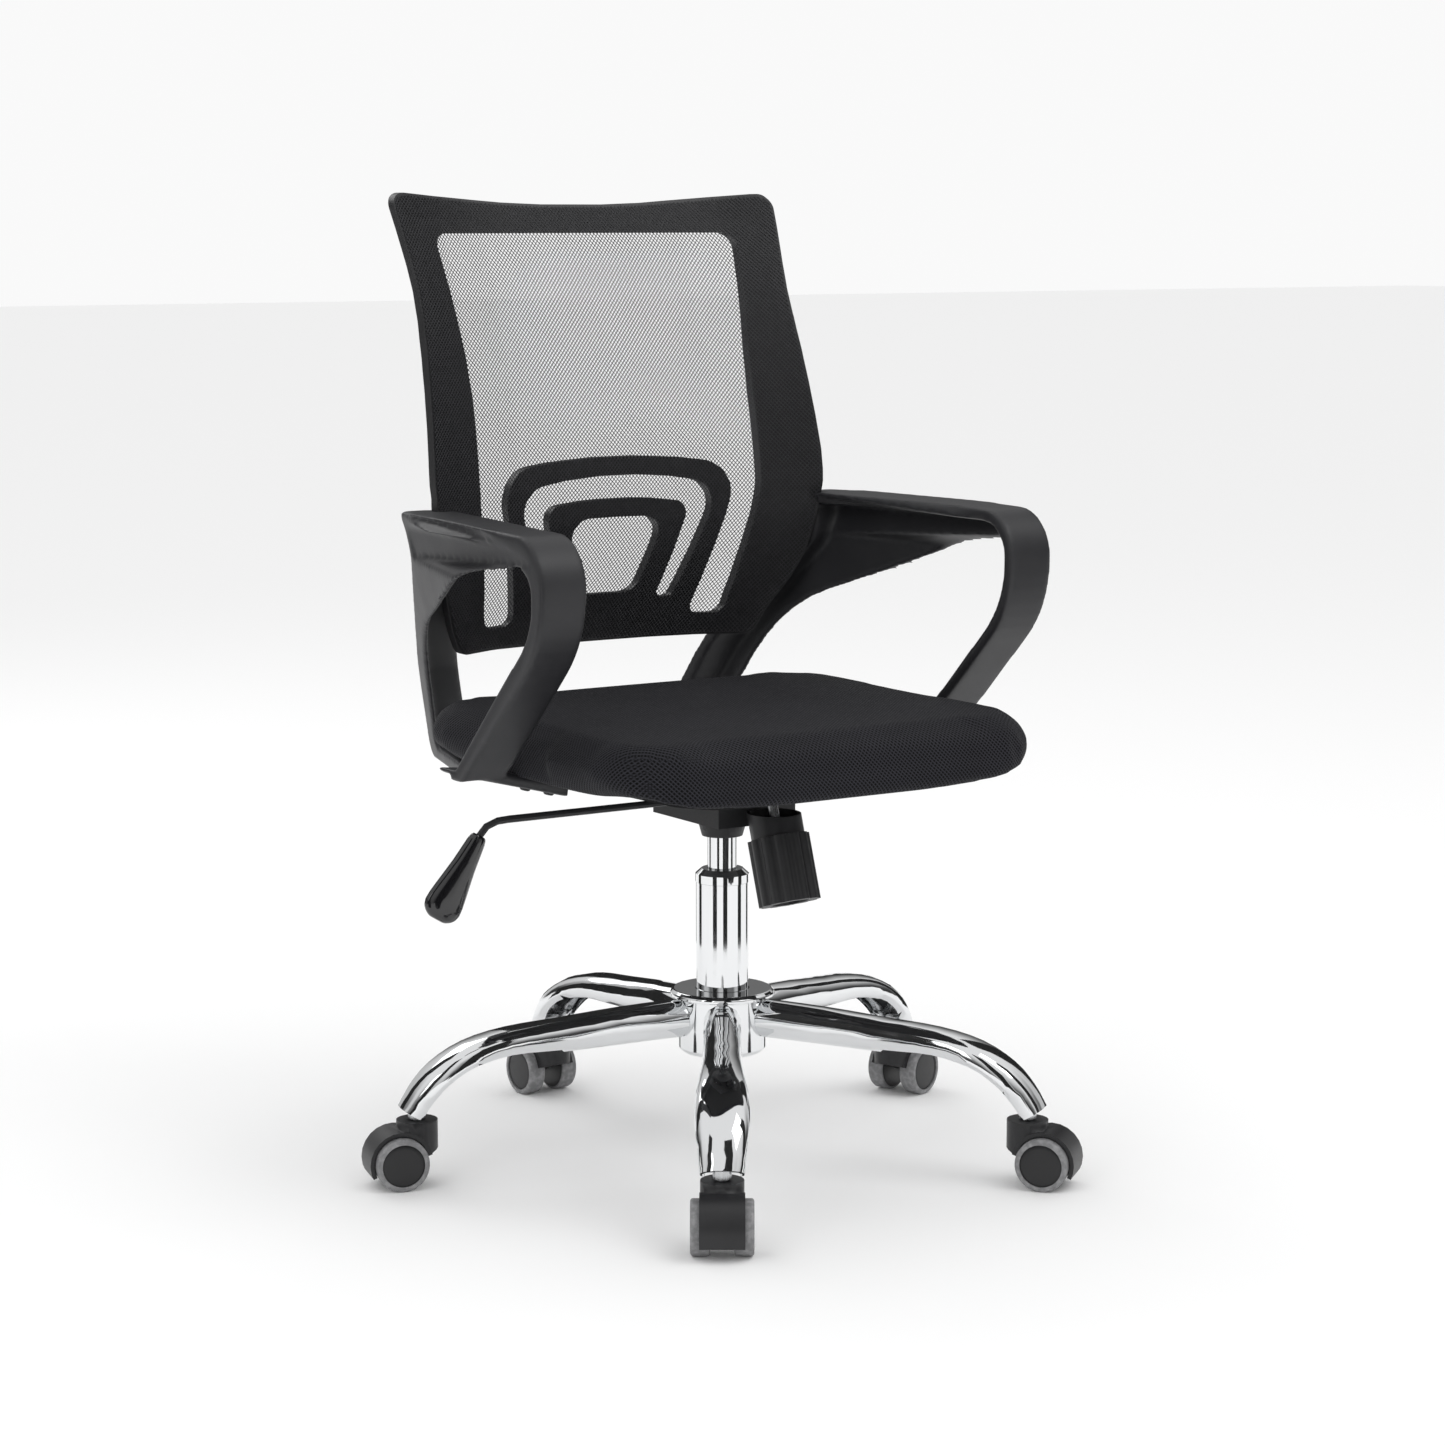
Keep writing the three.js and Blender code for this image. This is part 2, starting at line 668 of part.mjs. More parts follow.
function addGasLift() {
  const bore = COLUMN_RADIUS - COLUMN_WALL;
  const rodHole = ROD_RADIUS + RUN_GAP;
  const floorTop = COLUMN_FLOOR + COLUMN_FLOOR_THICKNESS;
  add("column_tube", ring([
    [rodHole, COLUMN_FLOOR],
    [COLUMN_RADIUS, COLUMN_FLOOR],
    [COLUMN_RADIUS, COLUMN_TOP],
    [bore, COLUMN_TOP],
    [bore, floorTop],
    [rodHole, floorTop],
  ], 32), chrome);
  const slide = LIFT_RADIUS + RUN_GAP;
  const capFoot = COLUMN_TOP + TOUCH_GAP;
  add("column_cap", ring([
    [slide, capFoot],
    [COLUMN_RADIUS + CAP_OVERHANG, capFoot],
    [COLUMN_RADIUS + CAP_OVERHANG, capFoot + CAP_HEIGHT - CAP_BEVEL],
    [COLUMN_RADIUS - CAP_BEVEL, capFoot + CAP_HEIGHT],
    [slide, capFoot + CAP_HEIGHT],
  ], 32), chrome);
  add("guide_bush", ring([
    [slide, COLUMN_TOP - BUSH_LENGTH],
    [bore - TOUCH_GAP, COLUMN_TOP - BUSH_LENGTH],
    [bore - TOUCH_GAP, COLUMN_TOP],
    [slide, COLUMN_TOP],
  ], 24), blackPlastic);
  const bearingFoot = floorTop + RUN_GAP;
  const bearingTop = bearingFoot + BEARING_THICKNESS;
  add("thrust_bearing", ring([
    [rodHole, bearingFoot],
    [BEARING_RADIUS, bearingFoot],
    [BEARING_RADIUS, bearingTop],
    [rodHole, bearingTop],
  ], 20), steel);
  const clipTop = COLUMN_FLOOR - RUN_GAP;
  add("retaining_clip", ring([
    [ROD_RADIUS + TOUCH_GAP, clipTop - CLIP_THICKNESS],
    [CLIP_RADIUS, clipTop - CLIP_THICKNESS],
    [CLIP_RADIUS, clipTop],
    [ROD_RADIUS + TOUCH_GAP, clipTop],
  ], 16), steel);
  const shoulder = bearingTop + TOUCH_GAP;
  const pistonRadius = LIFT_RADIUS - LIFT_WALL - RUN_GAP;
  add("piston_rod", turned([
    [0, ROD_END],
    [ROD_RADIUS, ROD_END],
    [ROD_RADIUS, shoulder],
    [SHOULDER_RADIUS, shoulder],
    [SHOULDER_RADIUS, shoulder + SHOULDER_THICKNESS],
    [ROD_RADIUS, shoulder + SHOULDER_THICKNESS],
    [ROD_RADIUS, PISTON_TOP - PISTON_THICKNESS],
    [pistonRadius, PISTON_TOP - PISTON_THICKNESS],
    [pistonRadius, PISTON_TOP],
    [0, PISTON_TOP],
  ], 20), steel);
  add("pressure_cylinder", ring([
    [rodHole, LIFT_BOTTOM],
    [LIFT_RADIUS, LIFT_BOTTOM],
    [LIFT_RADIUS, TAPER_START],
    [TAPER_RADIUS, LIFT_TOP],
    [PIN_RADIUS + RUN_GAP, LIFT_TOP],
    [PIN_RADIUS + RUN_GAP, LIFT_TOP - LIFT_FLOOR],
    [LIFT_RADIUS - LIFT_WALL, LIFT_TOP - 2 * LIFT_FLOOR],
    [LIFT_RADIUS - LIFT_WALL, LIFT_BOTTOM + LIFT_FLOOR],
    [rodHole, LIFT_BOTTOM + LIFT_FLOOR],
  ], 24), chrome);
  add("release_pin", cylinder(PIN_RADIUS, PIN_TOP - PIN_LENGTH, PIN_TOP, 16), steel);
}

// ---------- tilt mechanism ----------

function housingGeometry() {
  const wall = outlineOf([
    [HOUSING_REAR, HOUSING_FLOOR],
    [HOUSING_REAR, HOUSING_REAR_TOP],
    [TILT_Y + SHAFT_EYE, ARM_PLATE_TOP],
    [ARM_PLATE_FRONT, ARM_PLATE_TOP],
    [ARM_PLATE_FRONT, ARM_PLATE_BOTTOM],
    [HOUSING_FRONT, ARM_PLATE_BOTTOM - ARM_PLATE_GUSSET],
    [HOUSING_FRONT, HOUSING_FLOOR],
  ]);
  const inner = HOUSING_HALF_WIDTH - STEEL;
  const full = HOUSING_HALF_WIDTH;
  const floor = box(-full, full, HOUSING_FRONT, HOUSING_REAR, HOUSING_FLOOR, HOUSING_FLOOR + STEEL);
  const armPlate = box(-full, full, ARM_PLATE_FRONT, HOUSING_FRONT, ARM_PLATE_BOTTOM, ARM_PLATE_TOP);
  const frontWall = box(-full, full, HOUSING_FRONT, HOUSING_FRONT + STEEL, HOUSING_FLOOR, ARM_PLATE_TOP);
  const coneAt = (height) => LIFT_RADIUS + TOUCH_GAP - CONE_SLOPE * (height - TAPER_START);
  const socketTopZ = LIFT_TOP - SWING_GAP;
  const cone = turned([
    [0, SOCKET_BOTTOM],
    [SOCKET_BOTTOM_RADIUS, SOCKET_BOTTOM],
    [SOCKET_TOP_RADIUS, HOUSING_FLOOR],
    [SOCKET_TOP_RADIUS, socketTopZ],
    [0, socketTopZ],
  ], 28);
  const coneBore = turned([
    [0, SOCKET_BOTTOM - 1],
    [LIFT_RADIUS + TOUCH_GAP, SOCKET_BOTTOM - 1],
    [LIFT_RADIUS + TOUCH_GAP, TAPER_START],
    [coneAt(LIFT_TOP), LIFT_TOP],
    [0, LIFT_TOP],
  ], 32);
  const shaftHole = cylinder(TILT_SHAFT_RADIUS + RUN_GAP, -2 * full, 2 * full, 20, "x");
  const ballHole = cylinder(BALL_RADIUS + RUN_GAP, -2 * full, 0, 20, "x");
  const boltHole = cylinder(BOLT_RADIUS + BOLT_SLACK, ARM_PLATE_BOTTOM - 1, ARM_PLATE_TOP + 1, 20);
  boltHole.translate(0, boltY(ARM_PLATE_TOP), 0);
  return cut(
    join(slabX(wall, -full, -inner), slabX(wall, inner, full), floor, armPlate, frontWall, cone),
    coneBore,
    shaftHole.translate(0, TILT_Y, TILT_Z),
    ballHole.translate(0, 0, LEVER_Z),
    boltHole,
  );
}

function seatPlateGeometry() {
  const width = PLATE_HALF_WIDTH;
  const plate = box(-width, width, PLATE_FRONT, PLATE_REAR, PLATE_BOTTOM, PLATE_TOP);
  const inner = HOUSING_HALF_WIDTH + LUG_GAP;
  const outer = inner + STEEL;
  const lugs = [[-outer, -inner], [inner, outer]].map(([x0, x1]) => (
    box(x0, x1, LUG_FRONT, LUG_REAR, LUG_BOTTOM, PLATE_TOP)
  ));
  const shaftHole = cylinder(TILT_SHAFT_RADIUS + RUN_GAP, -width, width, 20, "x");
  return cut(join(plate, ...lugs), shaftHole.translate(0, TILT_Y, TILT_Z));
}

function addMechanism() {
  add("mechanism_housing", housingGeometry(), blackSteel);
  add("seat_plate", seatPlateGeometry(), blackSteel);
  const lugOutside = HOUSING_HALF_WIDTH + LUG_GAP + STEEL;
  const reach = lugOutside + TILT_SHAFT_PROUD;
  const shaft = cylinder(TILT_SHAFT_RADIUS, -reach, reach, 20, "x");
  add("tilt_shaft", shaft, steel).position.set(0, TILT_Y, TILT_Z);
}

// ---------- tension knob and its bolt, cover and spring ----------

function boltY(height) {
  return KNOB_Y + (height - KNOB_Z) * Math.tan(KNOB_LEAN * DEG);
}

function knobGeometry() {
  const points = [];
  const stepsPerFlute = 6;
  for (let i = 0; i < FLUTES * stepsPerFlute; i++) {
    const angle = i / (FLUTES * stepsPerFlute) * TURN;
    const dip = Math.max(0, -Math.cos(FLUTES * angle)) * FLUTE_DEPTH;
    points.push([(KNOB_RADIUS - dip) * Math.cos(angle), (KNOB_RADIUS - dip) * Math.sin(angle)]);
  }
  const grip = new THREE.ExtrudeGeometry(outlineOf(points), { depth: KNOB_LENGTH, bevelEnabled: false });
  return cut(
    grip,
    cylinder(KNOB_CAVITY, KNOB_FLOOR, KNOB_LENGTH + 1, 28),
    cylinder(KNOB_RECESS_RADIUS, -1, KNOB_RECESS, 24),
    cylinder(BOLT_RADIUS + TOUCH_GAP, -1, KNOB_LENGTH, 16),
  );
}

function springGeometry() {
  const outline = [];
  const inner = SPRING_RADIUS - SPRING_WIRE;
  for (let turn = 0; turn < SPRING_TURNS; turn++) {
    outline.push([SPRING_RADIUS, turn * SPRING_PITCH]);
    outline.push([SPRING_RADIUS, turn * SPRING_PITCH + SPRING_WIRE]);
    outline.push([SPRING_RADIUS - SPRING_WIRE / 2, (turn + 0.75) * SPRING_PITCH]);
  }
  outline.pop();
  outline.push([inner, outline.at(-1)[1]], [inner, 0]);
  return ring(outline, 12);
}

function addTension() {
  const lean = new THREE.Group();
  lean.position.set(0, KNOB_Y, KNOB_Z);
  lean.rotation.x = -KNOB_LEAN * DEG;
  chair.add(lean);
  add("tension_knob", knobGeometry(), blackPlastic, lean);
  const spring = add("tension_spring", springGeometry(), steel, lean);
  spring.position.z = KNOB_FLOOR + RUN_GAP;
  const toPlate = (height) => (height - KNOB_Z) / Math.cos(KNOB_LEAN * DEG);
  const above = (height) => {
    const far = 4 * COVER_RADIUS;
    const block = box(-far, far, -far, far, 0, far);
    const place = new THREE.Matrix4().makeTranslation(0, KNOB_Y, KNOB_Z);
    place.multiply(new THREE.Matrix4().makeRotationX(-KNOB_LEAN * DEG));
    return block.translate(0, boltY(height), height).applyMatrix4(place.invert());
  };
  const reach = toPlate(PLATE_BOTTOM) + BOLT_RADIUS;
  const bolt = cylinder(BOLT_RADIUS, KNOB_RECESS, reach, 16);
  add("tension_bolt", cut(bolt, above(PLATE_BOTTOM - TOUCH_GAP)), steel, lean);
  const coverFoot = KNOB_LENGTH + RUN_GAP;
  const cover = ring([
    [COVER_RADIUS - COVER_WALL, coverFoot],
    [COVER_RADIUS, coverFoot],
    [COVER_RADIUS, reach],
    [COVER_RADIUS - COVER_WALL, reach],
  ], 32);
  add("spring_cover", cut(cover, above(COVER_TOP)), blackPlastic, lean);
}

// ---------- lever ----------

function leverPath(grip) {
  const angle = HANDLE_ANGLE * DEG;
  const along = (distance) => new THREE.Vector3(
    HANDLE_TOP_X - distance * Math.sin(angle),
    0,
    LEVER_Z - LEVER_DROP - distance * Math.cos(angle),
  );
  const path = new THREE.CurvePath();
  const bendStart = new THREE.Vector3(LEVER_BEND_X, 0, LEVER_Z);
  const corner = new THREE.Vector3(along(0).x + LEVER_DROP * Math.tan(angle), 0, LEVER_Z);
  path.add(new THREE.LineCurve3(new THREE.Vector3(LEVER_INNER_END, 0, LEVER_Z), bendStart));
  path.add(new THREE.QuadraticBezierCurve3(bendStart, corner, along(0)));
  path.add(new THREE.LineCurve3(along(0), along(grip)));
  return path;
}

function rodAlong(path, radius, steps) {
  const section = new THREE.Shape().absarc(0, 0, radius, 0, TURN);
  const options = { steps, extrudePath: path, curveSegments: 4 };
  return new THREE.ExtrudeGeometry(section, options);
}

function handleGeometry() {
  const angle = HANDLE_ANGLE * DEG;
  const wide = new THREE.Vector3(Math.cos(angle), 0, -Math.sin(angle));
  const down = new THREE.Vector3(-Math.sin(angle), 0, -Math.cos(angle));
  const top = new THREE.Vector3(HANDLE_TOP_X, 0, LEVER_Z - LEVER_DROP);
  const sides = 16;
  const rings = faired(HANDLE_SECTIONS, 2).map(([share, halfWidth, halfThickness]) => {
    const centre = top.clone().addScaledVector(down, share * HANDLE_LENGTH);
    return Array.from({ length: sides }, (unused, i) => {
      const turn = i / sides * TURN;
      const point = centre.clone().addScaledVector(wide, halfWidth * Math.cos(turn));
      point.y -= halfThickness * Math.sin(turn);
      return point;
    });
  });
  return loft(rings);
}

function addLever() {
  const ball = new THREE.SphereGeometry(BALL_RADIUS, 12, 8);
  const bore = cylinder(LEVER_RADIUS + RUN_GAP, -2 * BALL_RADIUS, 2 * BALL_RADIUS, 12, "x");
  const wallMiddle = HOUSING_HALF_WIDTH - STEEL / 2;
  add("lever_bush", cut(ball, bore), blackPlastic).position.set(-wallMiddle, 0, LEVER_Z);
  const steps = 24;
  add("lever_rod", rodAlong(leverPath(HANDLE_GRIP), LEVER_RADIUS, steps), blackSteel);
  const room = rodAlong(leverPath(HANDLE_GRIP + TOUCH_GAP), LEVER_RADIUS + TOUCH_GAP, steps);
  const handle = cut(handleGeometry(), room);
  add("lever_handle", handle, glossPlastic);
}

// ---------- seat ----------

function panRise(x) {
  const share = Math.max(0, Math.abs(x) - PAN_FLAT) / (PAN_HALF_WIDTH - PAN_FLAT);
  return PAN_RISE * share ** 2;
}

// The moulded pan, grown by a gap on every side when it cuts the cushion's hollow.
function panGeometry(gap) {
  const halfWidth = PAN_HALF_WIDTH + gap;
  const steps = 12;
  const lower = [];
  for (let i = 0; i <= steps; i++) {
    const x = THREE.MathUtils.lerp(-halfWidth, halfWidth, i / steps);
    lower.push([x, PAN_BOTTOM + panRise(x)]);
  }
  const upper = lower.map(([x, z]) => [x, z + PAN_THICKNESS + gap]).reverse();
  const depth = gap ? 2 * PAN_THICKNESS : 0;
  const under = lower.map(([x, z]) => [x, z - depth]);
  const slab = slabY(outlineOf([...under, ...upper]), SEAT_FRONT, SEAT_REAR);
  const plan = seatOutline(PAN_INSET - gap);
  const rings = [0, 2 * PAN_BOTTOM].map((z) => plan.map(([x, y]) => new THREE.Vector3(x, y, z)));
  return shared(slab, loft(rings));
}

// The cushion's outline in plan, shrunk all round by an inset.
function seatOutline(inset) {
  const radius = SEAT_CORNER - inset;
  const middleY = (SEAT_FRONT + SEAT_REAR) / 2;
  const halfLength = (SEAT_REAR - SEAT_FRONT) / 2 - inset;
  const halfWidth = SEAT_HALF_WIDTH - inset;
  const cornerSteps = 6;
  const sideSteps = 4;
  const points = [];
  for (let corner = 0; corner < 4; corner++) {
    const signX = corner === 0 || corner === 3 ? 1 : -1;
    const signY = corner < 2 ? 1 : -1;
    for (let i = 0; i <= cornerSteps; i++) {
      const angle = (corner + i / cornerSteps) * TURN / 4;
      points.push([
        signX * (halfWidth - radius) + radius * Math.cos(angle),
        middleY + signY * (halfLength - radius) + radius * Math.sin(angle),
      ]);
    }
  }
  const full = [];
  points.forEach((point, i) => {
    const next = points[(i + 1) % points.length];
    const steps = (i + 1) % (cornerSteps + 1) ? 1 : sideSteps;
    for (let k = 0; k < steps; k++) {
      full.push([
        THREE.MathUtils.lerp(point[0], next[0], k / steps),
        THREE.MathUtils.lerp(point[1], next[1], k / steps),
      ]);
    }
  });
  return full;
}

function cushionGeometry() {
  const skirt = (x) => PAN_BOTTOM + panRise(Math.min(Math.abs(x), PAN_HALF_WIDTH));
  const levels = [
    [SEAT_SKIRT_INSET, (x) => skirt(x)],
    [SEAT_SKIRT_INSET / 4, (x) => skirt(x) + SEAT_SKIRT_HEIGHT / 2],
    [0, (x) => skirt(x) + SEAT_SKIRT_HEIGHT],
    [3, () => SEAT_TOP - 0.7 * SEAT_EDGE],
    [0.35 * SEAT_EDGE, () => SEAT_TOP - 0.3 * SEAT_EDGE],
    [SEAT_EDGE, () => SEAT_TOP],
    [3 * SEAT_EDGE - SEAT_SKIRT_INSET, () => SEAT_TOP + SEAT_CROWN],
  ];
  const rings = levels.map(([inset, height]) => (
    seatOutline(inset).map(([x, y]) => new THREE.Vector3(x, y, height(x)))
  ));
  const side = ARM_OUTER_X - FLANGE_WIDTH - SWING_GAP;
  const [foot, knee] = ARM_TOP_CORNERS;
  const climbed = (SEAT_TOP + SEAT_CROWN - foot[1]) / (knee[1] - foot[1]);
  const notchFront = THREE.MathUtils.lerp(foot[0], knee[0], climbed) - NOTCH_GAP;
  const notchRear = FOOT_FRONT + LEG_THICKNESS + NOTCH_GAP;
  const notches = [-1, 1].map((sign) => {
    const ends = [sign * side, sign * ARM_OUTER_X].sort((a, b) => a - b);
    return box(ends[0], ends[1], notchFront, notchRear, 0, 2 * SEAT_TOP);
  });
  return cut(loft(rings), panGeometry(TOUCH_GAP), ...notches);
}

// ---------- armrests ----------

// The loop's side leans and turns in towards the middle as it goes back and down.
function armInset(y, z) {
  const lean = ARM_LEAN * (ARM_TOP - z) * smoothstep((y - ARM_LEAN_START) / ARM_LEAN_LENGTH);
  return lean + ARM_SWEEP * Math.max(0, y - ARM_SWEEP_START);
}

function armBent(geometry) {
  return bent(geometry, (point) => {
    point.x -= armInset(point.y, point.z);
  });
}

// A strip of even thickness along the inner side of a line.
function strip(line, thickness) {
  const inner = line.map(([u, v], i) => {
    const [u0, v0] = line[Math.max(i - 1, 0)];
    const [u1, v1] = line[Math.min(i + 1, line.length - 1)];
    const length = Math.hypot(u1 - u0, v1 - v0);
    return [u + (v1 - v0) / length * thickness, v - (u1 - u0) / length * thickness];
  });
  return outlineOf([...line, ...inner.reverse()]);
}

function armGeometry() {
  const [top, rear, opening] = [ARM_TOP_CORNERS, ARM_REAR_CORNERS, ARM_OPENING_CORNERS].map(
    (corners) => bowed(rounded(corners), ARM_STEP, ARM_BOW),
  );
  const seated = PAN_BOTTOM - TOUCH_GAP;
  const rearFoot = [
    [REAR_FOOT_BACK, REAR_FOOT_BOTTOM + REAR_FOOT_CHAMFER],
    [REAR_FOOT_BACK - REAR_FOOT_CHAMFER, REAR_FOOT_BOTTOM],
    [REAR_FOOT_FRONT, REAR_FOOT_BOTTOM],
    [REAR_FOOT_FRONT, seated],
    [opening[0][0] - 2 * REAR_FOOT_CHAMFER, seated],
  ];
  const webInner = ARM_OUTER_X - WEB_THICKNESS;
  const inner = ARM_OUTER_X - FLANGE_WIDTH;
  const rearInner = ARM_OUTER_X - REAR_FLANGE_WIDTH;
  const side = outlineOf([...top, ...rear.slice(1), ...rearFoot, ...opening]);
  const web = slabX(side, webInner, ARM_OUTER_X);
  const flange = slabX(strip(top, FLANGE_THICKNESS), inner, ARM_OUTER_X);
  const rearFlange = slabX(strip(rear.slice(1), FLANGE_THICKNESS), rearInner, ARM_OUTER_X);
  const footBar = slabX(outlineOf([rear.at(-1), ...rearFoot, opening[0]]), rearInner, ARM_OUTER_X);
  const footBottom = seated - FOOT_THICKNESS;
  const foot = slabY(outlineOf([
    [FOOT_INNER_X, footBottom],
    [ARM_OUTER_X, footBottom + FOOT_RISE],
    [ARM_OUTER_X, footBottom + FOOT_RISE + FOOT_TIP],
    [inner, footBottom + FOOT_RISE - 1],
    [FOOT_INNER_X, seated],
  ]), FOOT_FRONT, FOOT_FRONT + FOOT_LENGTH);
  return join(armBent(web), armBent(flange), armBent(rearFlange), armBent(footBar), foot);
}

// ---------- back ----------

function backY(x, z) {
  const recline = RECLINE * Math.max(0, z - RECLINE_START) ** 2;
  const lumbar = LUMBAR_CURVE * Math.max(0, LUMBAR_START - z) ** 1.5;
  const share = Math.min(1, Math.abs(x) / backHalfWidth(z));
  return BACK_DEPTH + recline + lumbar + BACK_CONCAVITY * (1 - share ** BACK_BOW_POWER);
}

const backOutline = rounded([[0, BACK_BOTTOM], ...BACK_CORNERS, [0, BACK_TOP]]);

// The side edge's distance from the middle line at a height
function backHalfWidth(z) {
  const highest = backOutline.reduce((best, point) => (point[1] > best[1] ? point : best));
  const side = backOutline.slice(1, backOutline.indexOf(highest) + 1);
  const upper = side.findIndex(([, height]) => height >= z);
  if (upper < 1) return side.at(upper)[0];
  const [x0, z0] = side[upper - 1];
  const [x1, z1] = side[upper];
  return THREE.MathUtils.lerp(x0, x1, (z - z0) / (z1 - z0));
}

// A closed outline from its right half, which runs from the middle line to the middle line.
function mirrored(half) {
  const left = half.filter(([x]) => x > 1e-6).map(([x, z]) => [-x, z]).reverse();
  return [...half, ...left];
}

// Right halves of the frame's openings around the two lumbar arches
const WINDOW = rounded([[0, ARCH_TOP], ...WINDOW_CORNERS, [0, BACK_TOP - TOP_BAR]]);
const ARCH_SLOT = rounded([
  [0, SLOT_BOTTOM],
  ...SLOT_INNER_CORNERS,
  ...SLOT_OUTER_CORNERS,
  [0, SLOT_TOP],
]);
const INNER_WINDOW = rounded([
  [0, BACK_BOTTOM + BACK_SILL],
  ...INNER_WINDOW_CORNERS,
  [0, SLOT_BOTTOM - ARCH_WIDTH],
]);

// A curved slab along the back's front surface, from one depth behind it to another. Both
// faces are split the same way, so slabs laid against each other keep an even gap.
function backSlab(front, rear) {
  const low = BACK_BOTTOM - BACK_EDGE_ROOM;
  const high = BACK_TOP + BACK_TOP_RISE + BACK_EDGE_ROOM;
  const points = [];
  for (const depth of [front, rear]) {
    for (let j = 0; j <= BACK_ROWS; j++) {
      const z = THREE.MathUtils.lerp(low, high, j / BACK_ROWS);
      for (let i = 0; i <= BACK_COLUMNS; i++) {
        const x = BACK_HALF_REACH * Math.sin((i / BACK_COLUMNS - 0.5) * Math.PI);
        points.push(new THREE.Vector3(x, backY(x, z) + depth, z));
      }
    }
  }
  const index = [];
  const row = BACK_COLUMNS + 1;
  const layer = row * (BACK_ROWS + 1);
  const quad = (a, b, c, d) => index.push(a, b, c, a, c, d);
  for (let j = 0; j < BACK_ROWS; j++) {
    for (let i = 0; i < BACK_COLUMNS; i++) {
      const a = j * row + i;
      const corners = [a, a + 1, a + row + 1, a + row];
      if (i < BACK_COLUMNS / 2) corners.push(corners.shift());
      quad(...corners);
      const [b, c, d, e] = corners.map((corner) => corner + layer);
      index.push(b, d, c, b, e, d);
    }
  }
  for (let i = 0; i < BACK_COLUMNS; i++) {
    const top = BACK_ROWS * row + i;
    quad(i + 1, i, i + layer, i + 1 + layer);
    quad(top, top + 1, top + 1 + layer, top + layer);
  }
  for (let j = 0; j < BACK_ROWS; j++) {
    const left = j * row;
    const right = left + BACK_COLUMNS;
    quad(left, left + row, left + row + layer, left + layer);
    quad(right + row, right, right + layer, right + row + layer);
  }
  return new THREE.BufferGeometry().setFromPoints(points).setIndex(index);
}

// The frame's outer outline through and through, for cutting a curved slab to shape.
function backPrism(openings, growth = 0) {
  const middle = (BACK_BOTTOM + BACK_TOP) / 2;
  const grown = backOutline.map(([x, z]) => [x && x + growth, z + growth * Math.sign(z - middle)]);
  const shape = outlineOf(mirrored(grown));
  for (const opening of openings) {
    const points = mirrored(opening).reverse();
    shape.holes.push(new THREE.Path(points.map(([x, z]) => new THREE.Vector2(x, z))));
  }
  return slabY(shape, 0, 2 * BACK_DEPTH + RECLINE_ROOM);
}

function backFrameGeometry() {
  return shared(backSlab(0, BACK_THICKNESS), backPrism([WINDOW, ARCH_SLOT, INNER_WINDOW]));
}

// The mesh cloth, stretched over the front of the frame.
function backMeshGeometry() {
  const front = -TOUCH_GAP - MESH_THICKNESS;
  return shared(backSlab(front, -TOUCH_GAP), backPrism([], -MESH_INSET));
}

// What the armrests keep clear of where they pass the back.
function backRoom() {
  const front = -MESH_ROOM;
  return shared(backSlab(front, BACK_THICKNESS + TOUCH_GAP), backPrism([], TOUCH_GAP));
}

// ---------- assembly ----------

const hood = hoodGeometry();
const wheel = wheelGeometry();
const leg = legGeometry();
const socket = socketGeometry();

add("base_hub", hubGeometry(), chrome);
for (let number = 1; number <= LEG_COUNT; number++) {
  const angle = FIRST_LEG_ANGLE * DEG + (number - 1) / LEG_COUNT * TURN;
  const x = PIVOT_RADIUS * Math.cos(angle);
  const y = PIVOT_RADIUS * Math.sin(angle);
  add(`leg_${number}`, leg, chrome, groupAt(0, 0, angle));
  add(`stem_socket_${number}`, socket, steel, groupAt(x, y, angle));
  addCaster(number, x, y, angle);
}
addGasLift();
addMechanism();
addTension();
addLever();
add("seat_pan", panGeometry(0), plywood);
add("seat_cushion", cushionGeometry(), seatFabric);
const armrest = cut(armGeometry(), backRoom());
add("armrest_left", armrest, charcoalNylon);
add("armrest_right", armrest, charcoalNylon).scale.x = -1;
add("back_frame", backFrameGeometry(), blackPlastic);
add("back_mesh", backMeshGeometry(), backMesh);

export default chair;
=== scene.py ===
import json
import math

import bmesh
import bpy
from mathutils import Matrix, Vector
from mathutils.bvhtree import BVHTree

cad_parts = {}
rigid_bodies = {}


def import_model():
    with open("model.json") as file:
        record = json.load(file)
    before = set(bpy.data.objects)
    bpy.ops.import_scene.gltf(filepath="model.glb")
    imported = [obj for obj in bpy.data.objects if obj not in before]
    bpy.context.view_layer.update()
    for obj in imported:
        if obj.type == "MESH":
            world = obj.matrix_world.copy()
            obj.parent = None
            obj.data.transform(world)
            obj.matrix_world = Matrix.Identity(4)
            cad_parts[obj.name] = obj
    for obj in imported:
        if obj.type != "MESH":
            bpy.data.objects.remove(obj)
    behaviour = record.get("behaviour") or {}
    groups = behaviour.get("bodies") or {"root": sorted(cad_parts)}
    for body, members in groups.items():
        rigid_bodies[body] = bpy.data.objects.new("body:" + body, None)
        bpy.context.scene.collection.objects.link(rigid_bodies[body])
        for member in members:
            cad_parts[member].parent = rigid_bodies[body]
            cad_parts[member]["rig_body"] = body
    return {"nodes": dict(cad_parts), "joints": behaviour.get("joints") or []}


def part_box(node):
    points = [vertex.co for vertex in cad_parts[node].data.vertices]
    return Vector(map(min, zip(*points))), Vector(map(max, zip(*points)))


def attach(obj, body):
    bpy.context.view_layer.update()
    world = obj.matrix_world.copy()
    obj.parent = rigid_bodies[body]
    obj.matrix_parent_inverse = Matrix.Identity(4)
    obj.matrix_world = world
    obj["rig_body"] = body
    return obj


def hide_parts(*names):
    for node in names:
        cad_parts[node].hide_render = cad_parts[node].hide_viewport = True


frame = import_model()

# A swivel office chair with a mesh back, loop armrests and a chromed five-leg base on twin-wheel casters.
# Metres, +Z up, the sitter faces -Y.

MM = 0.001
TURN = 2 * math.pi
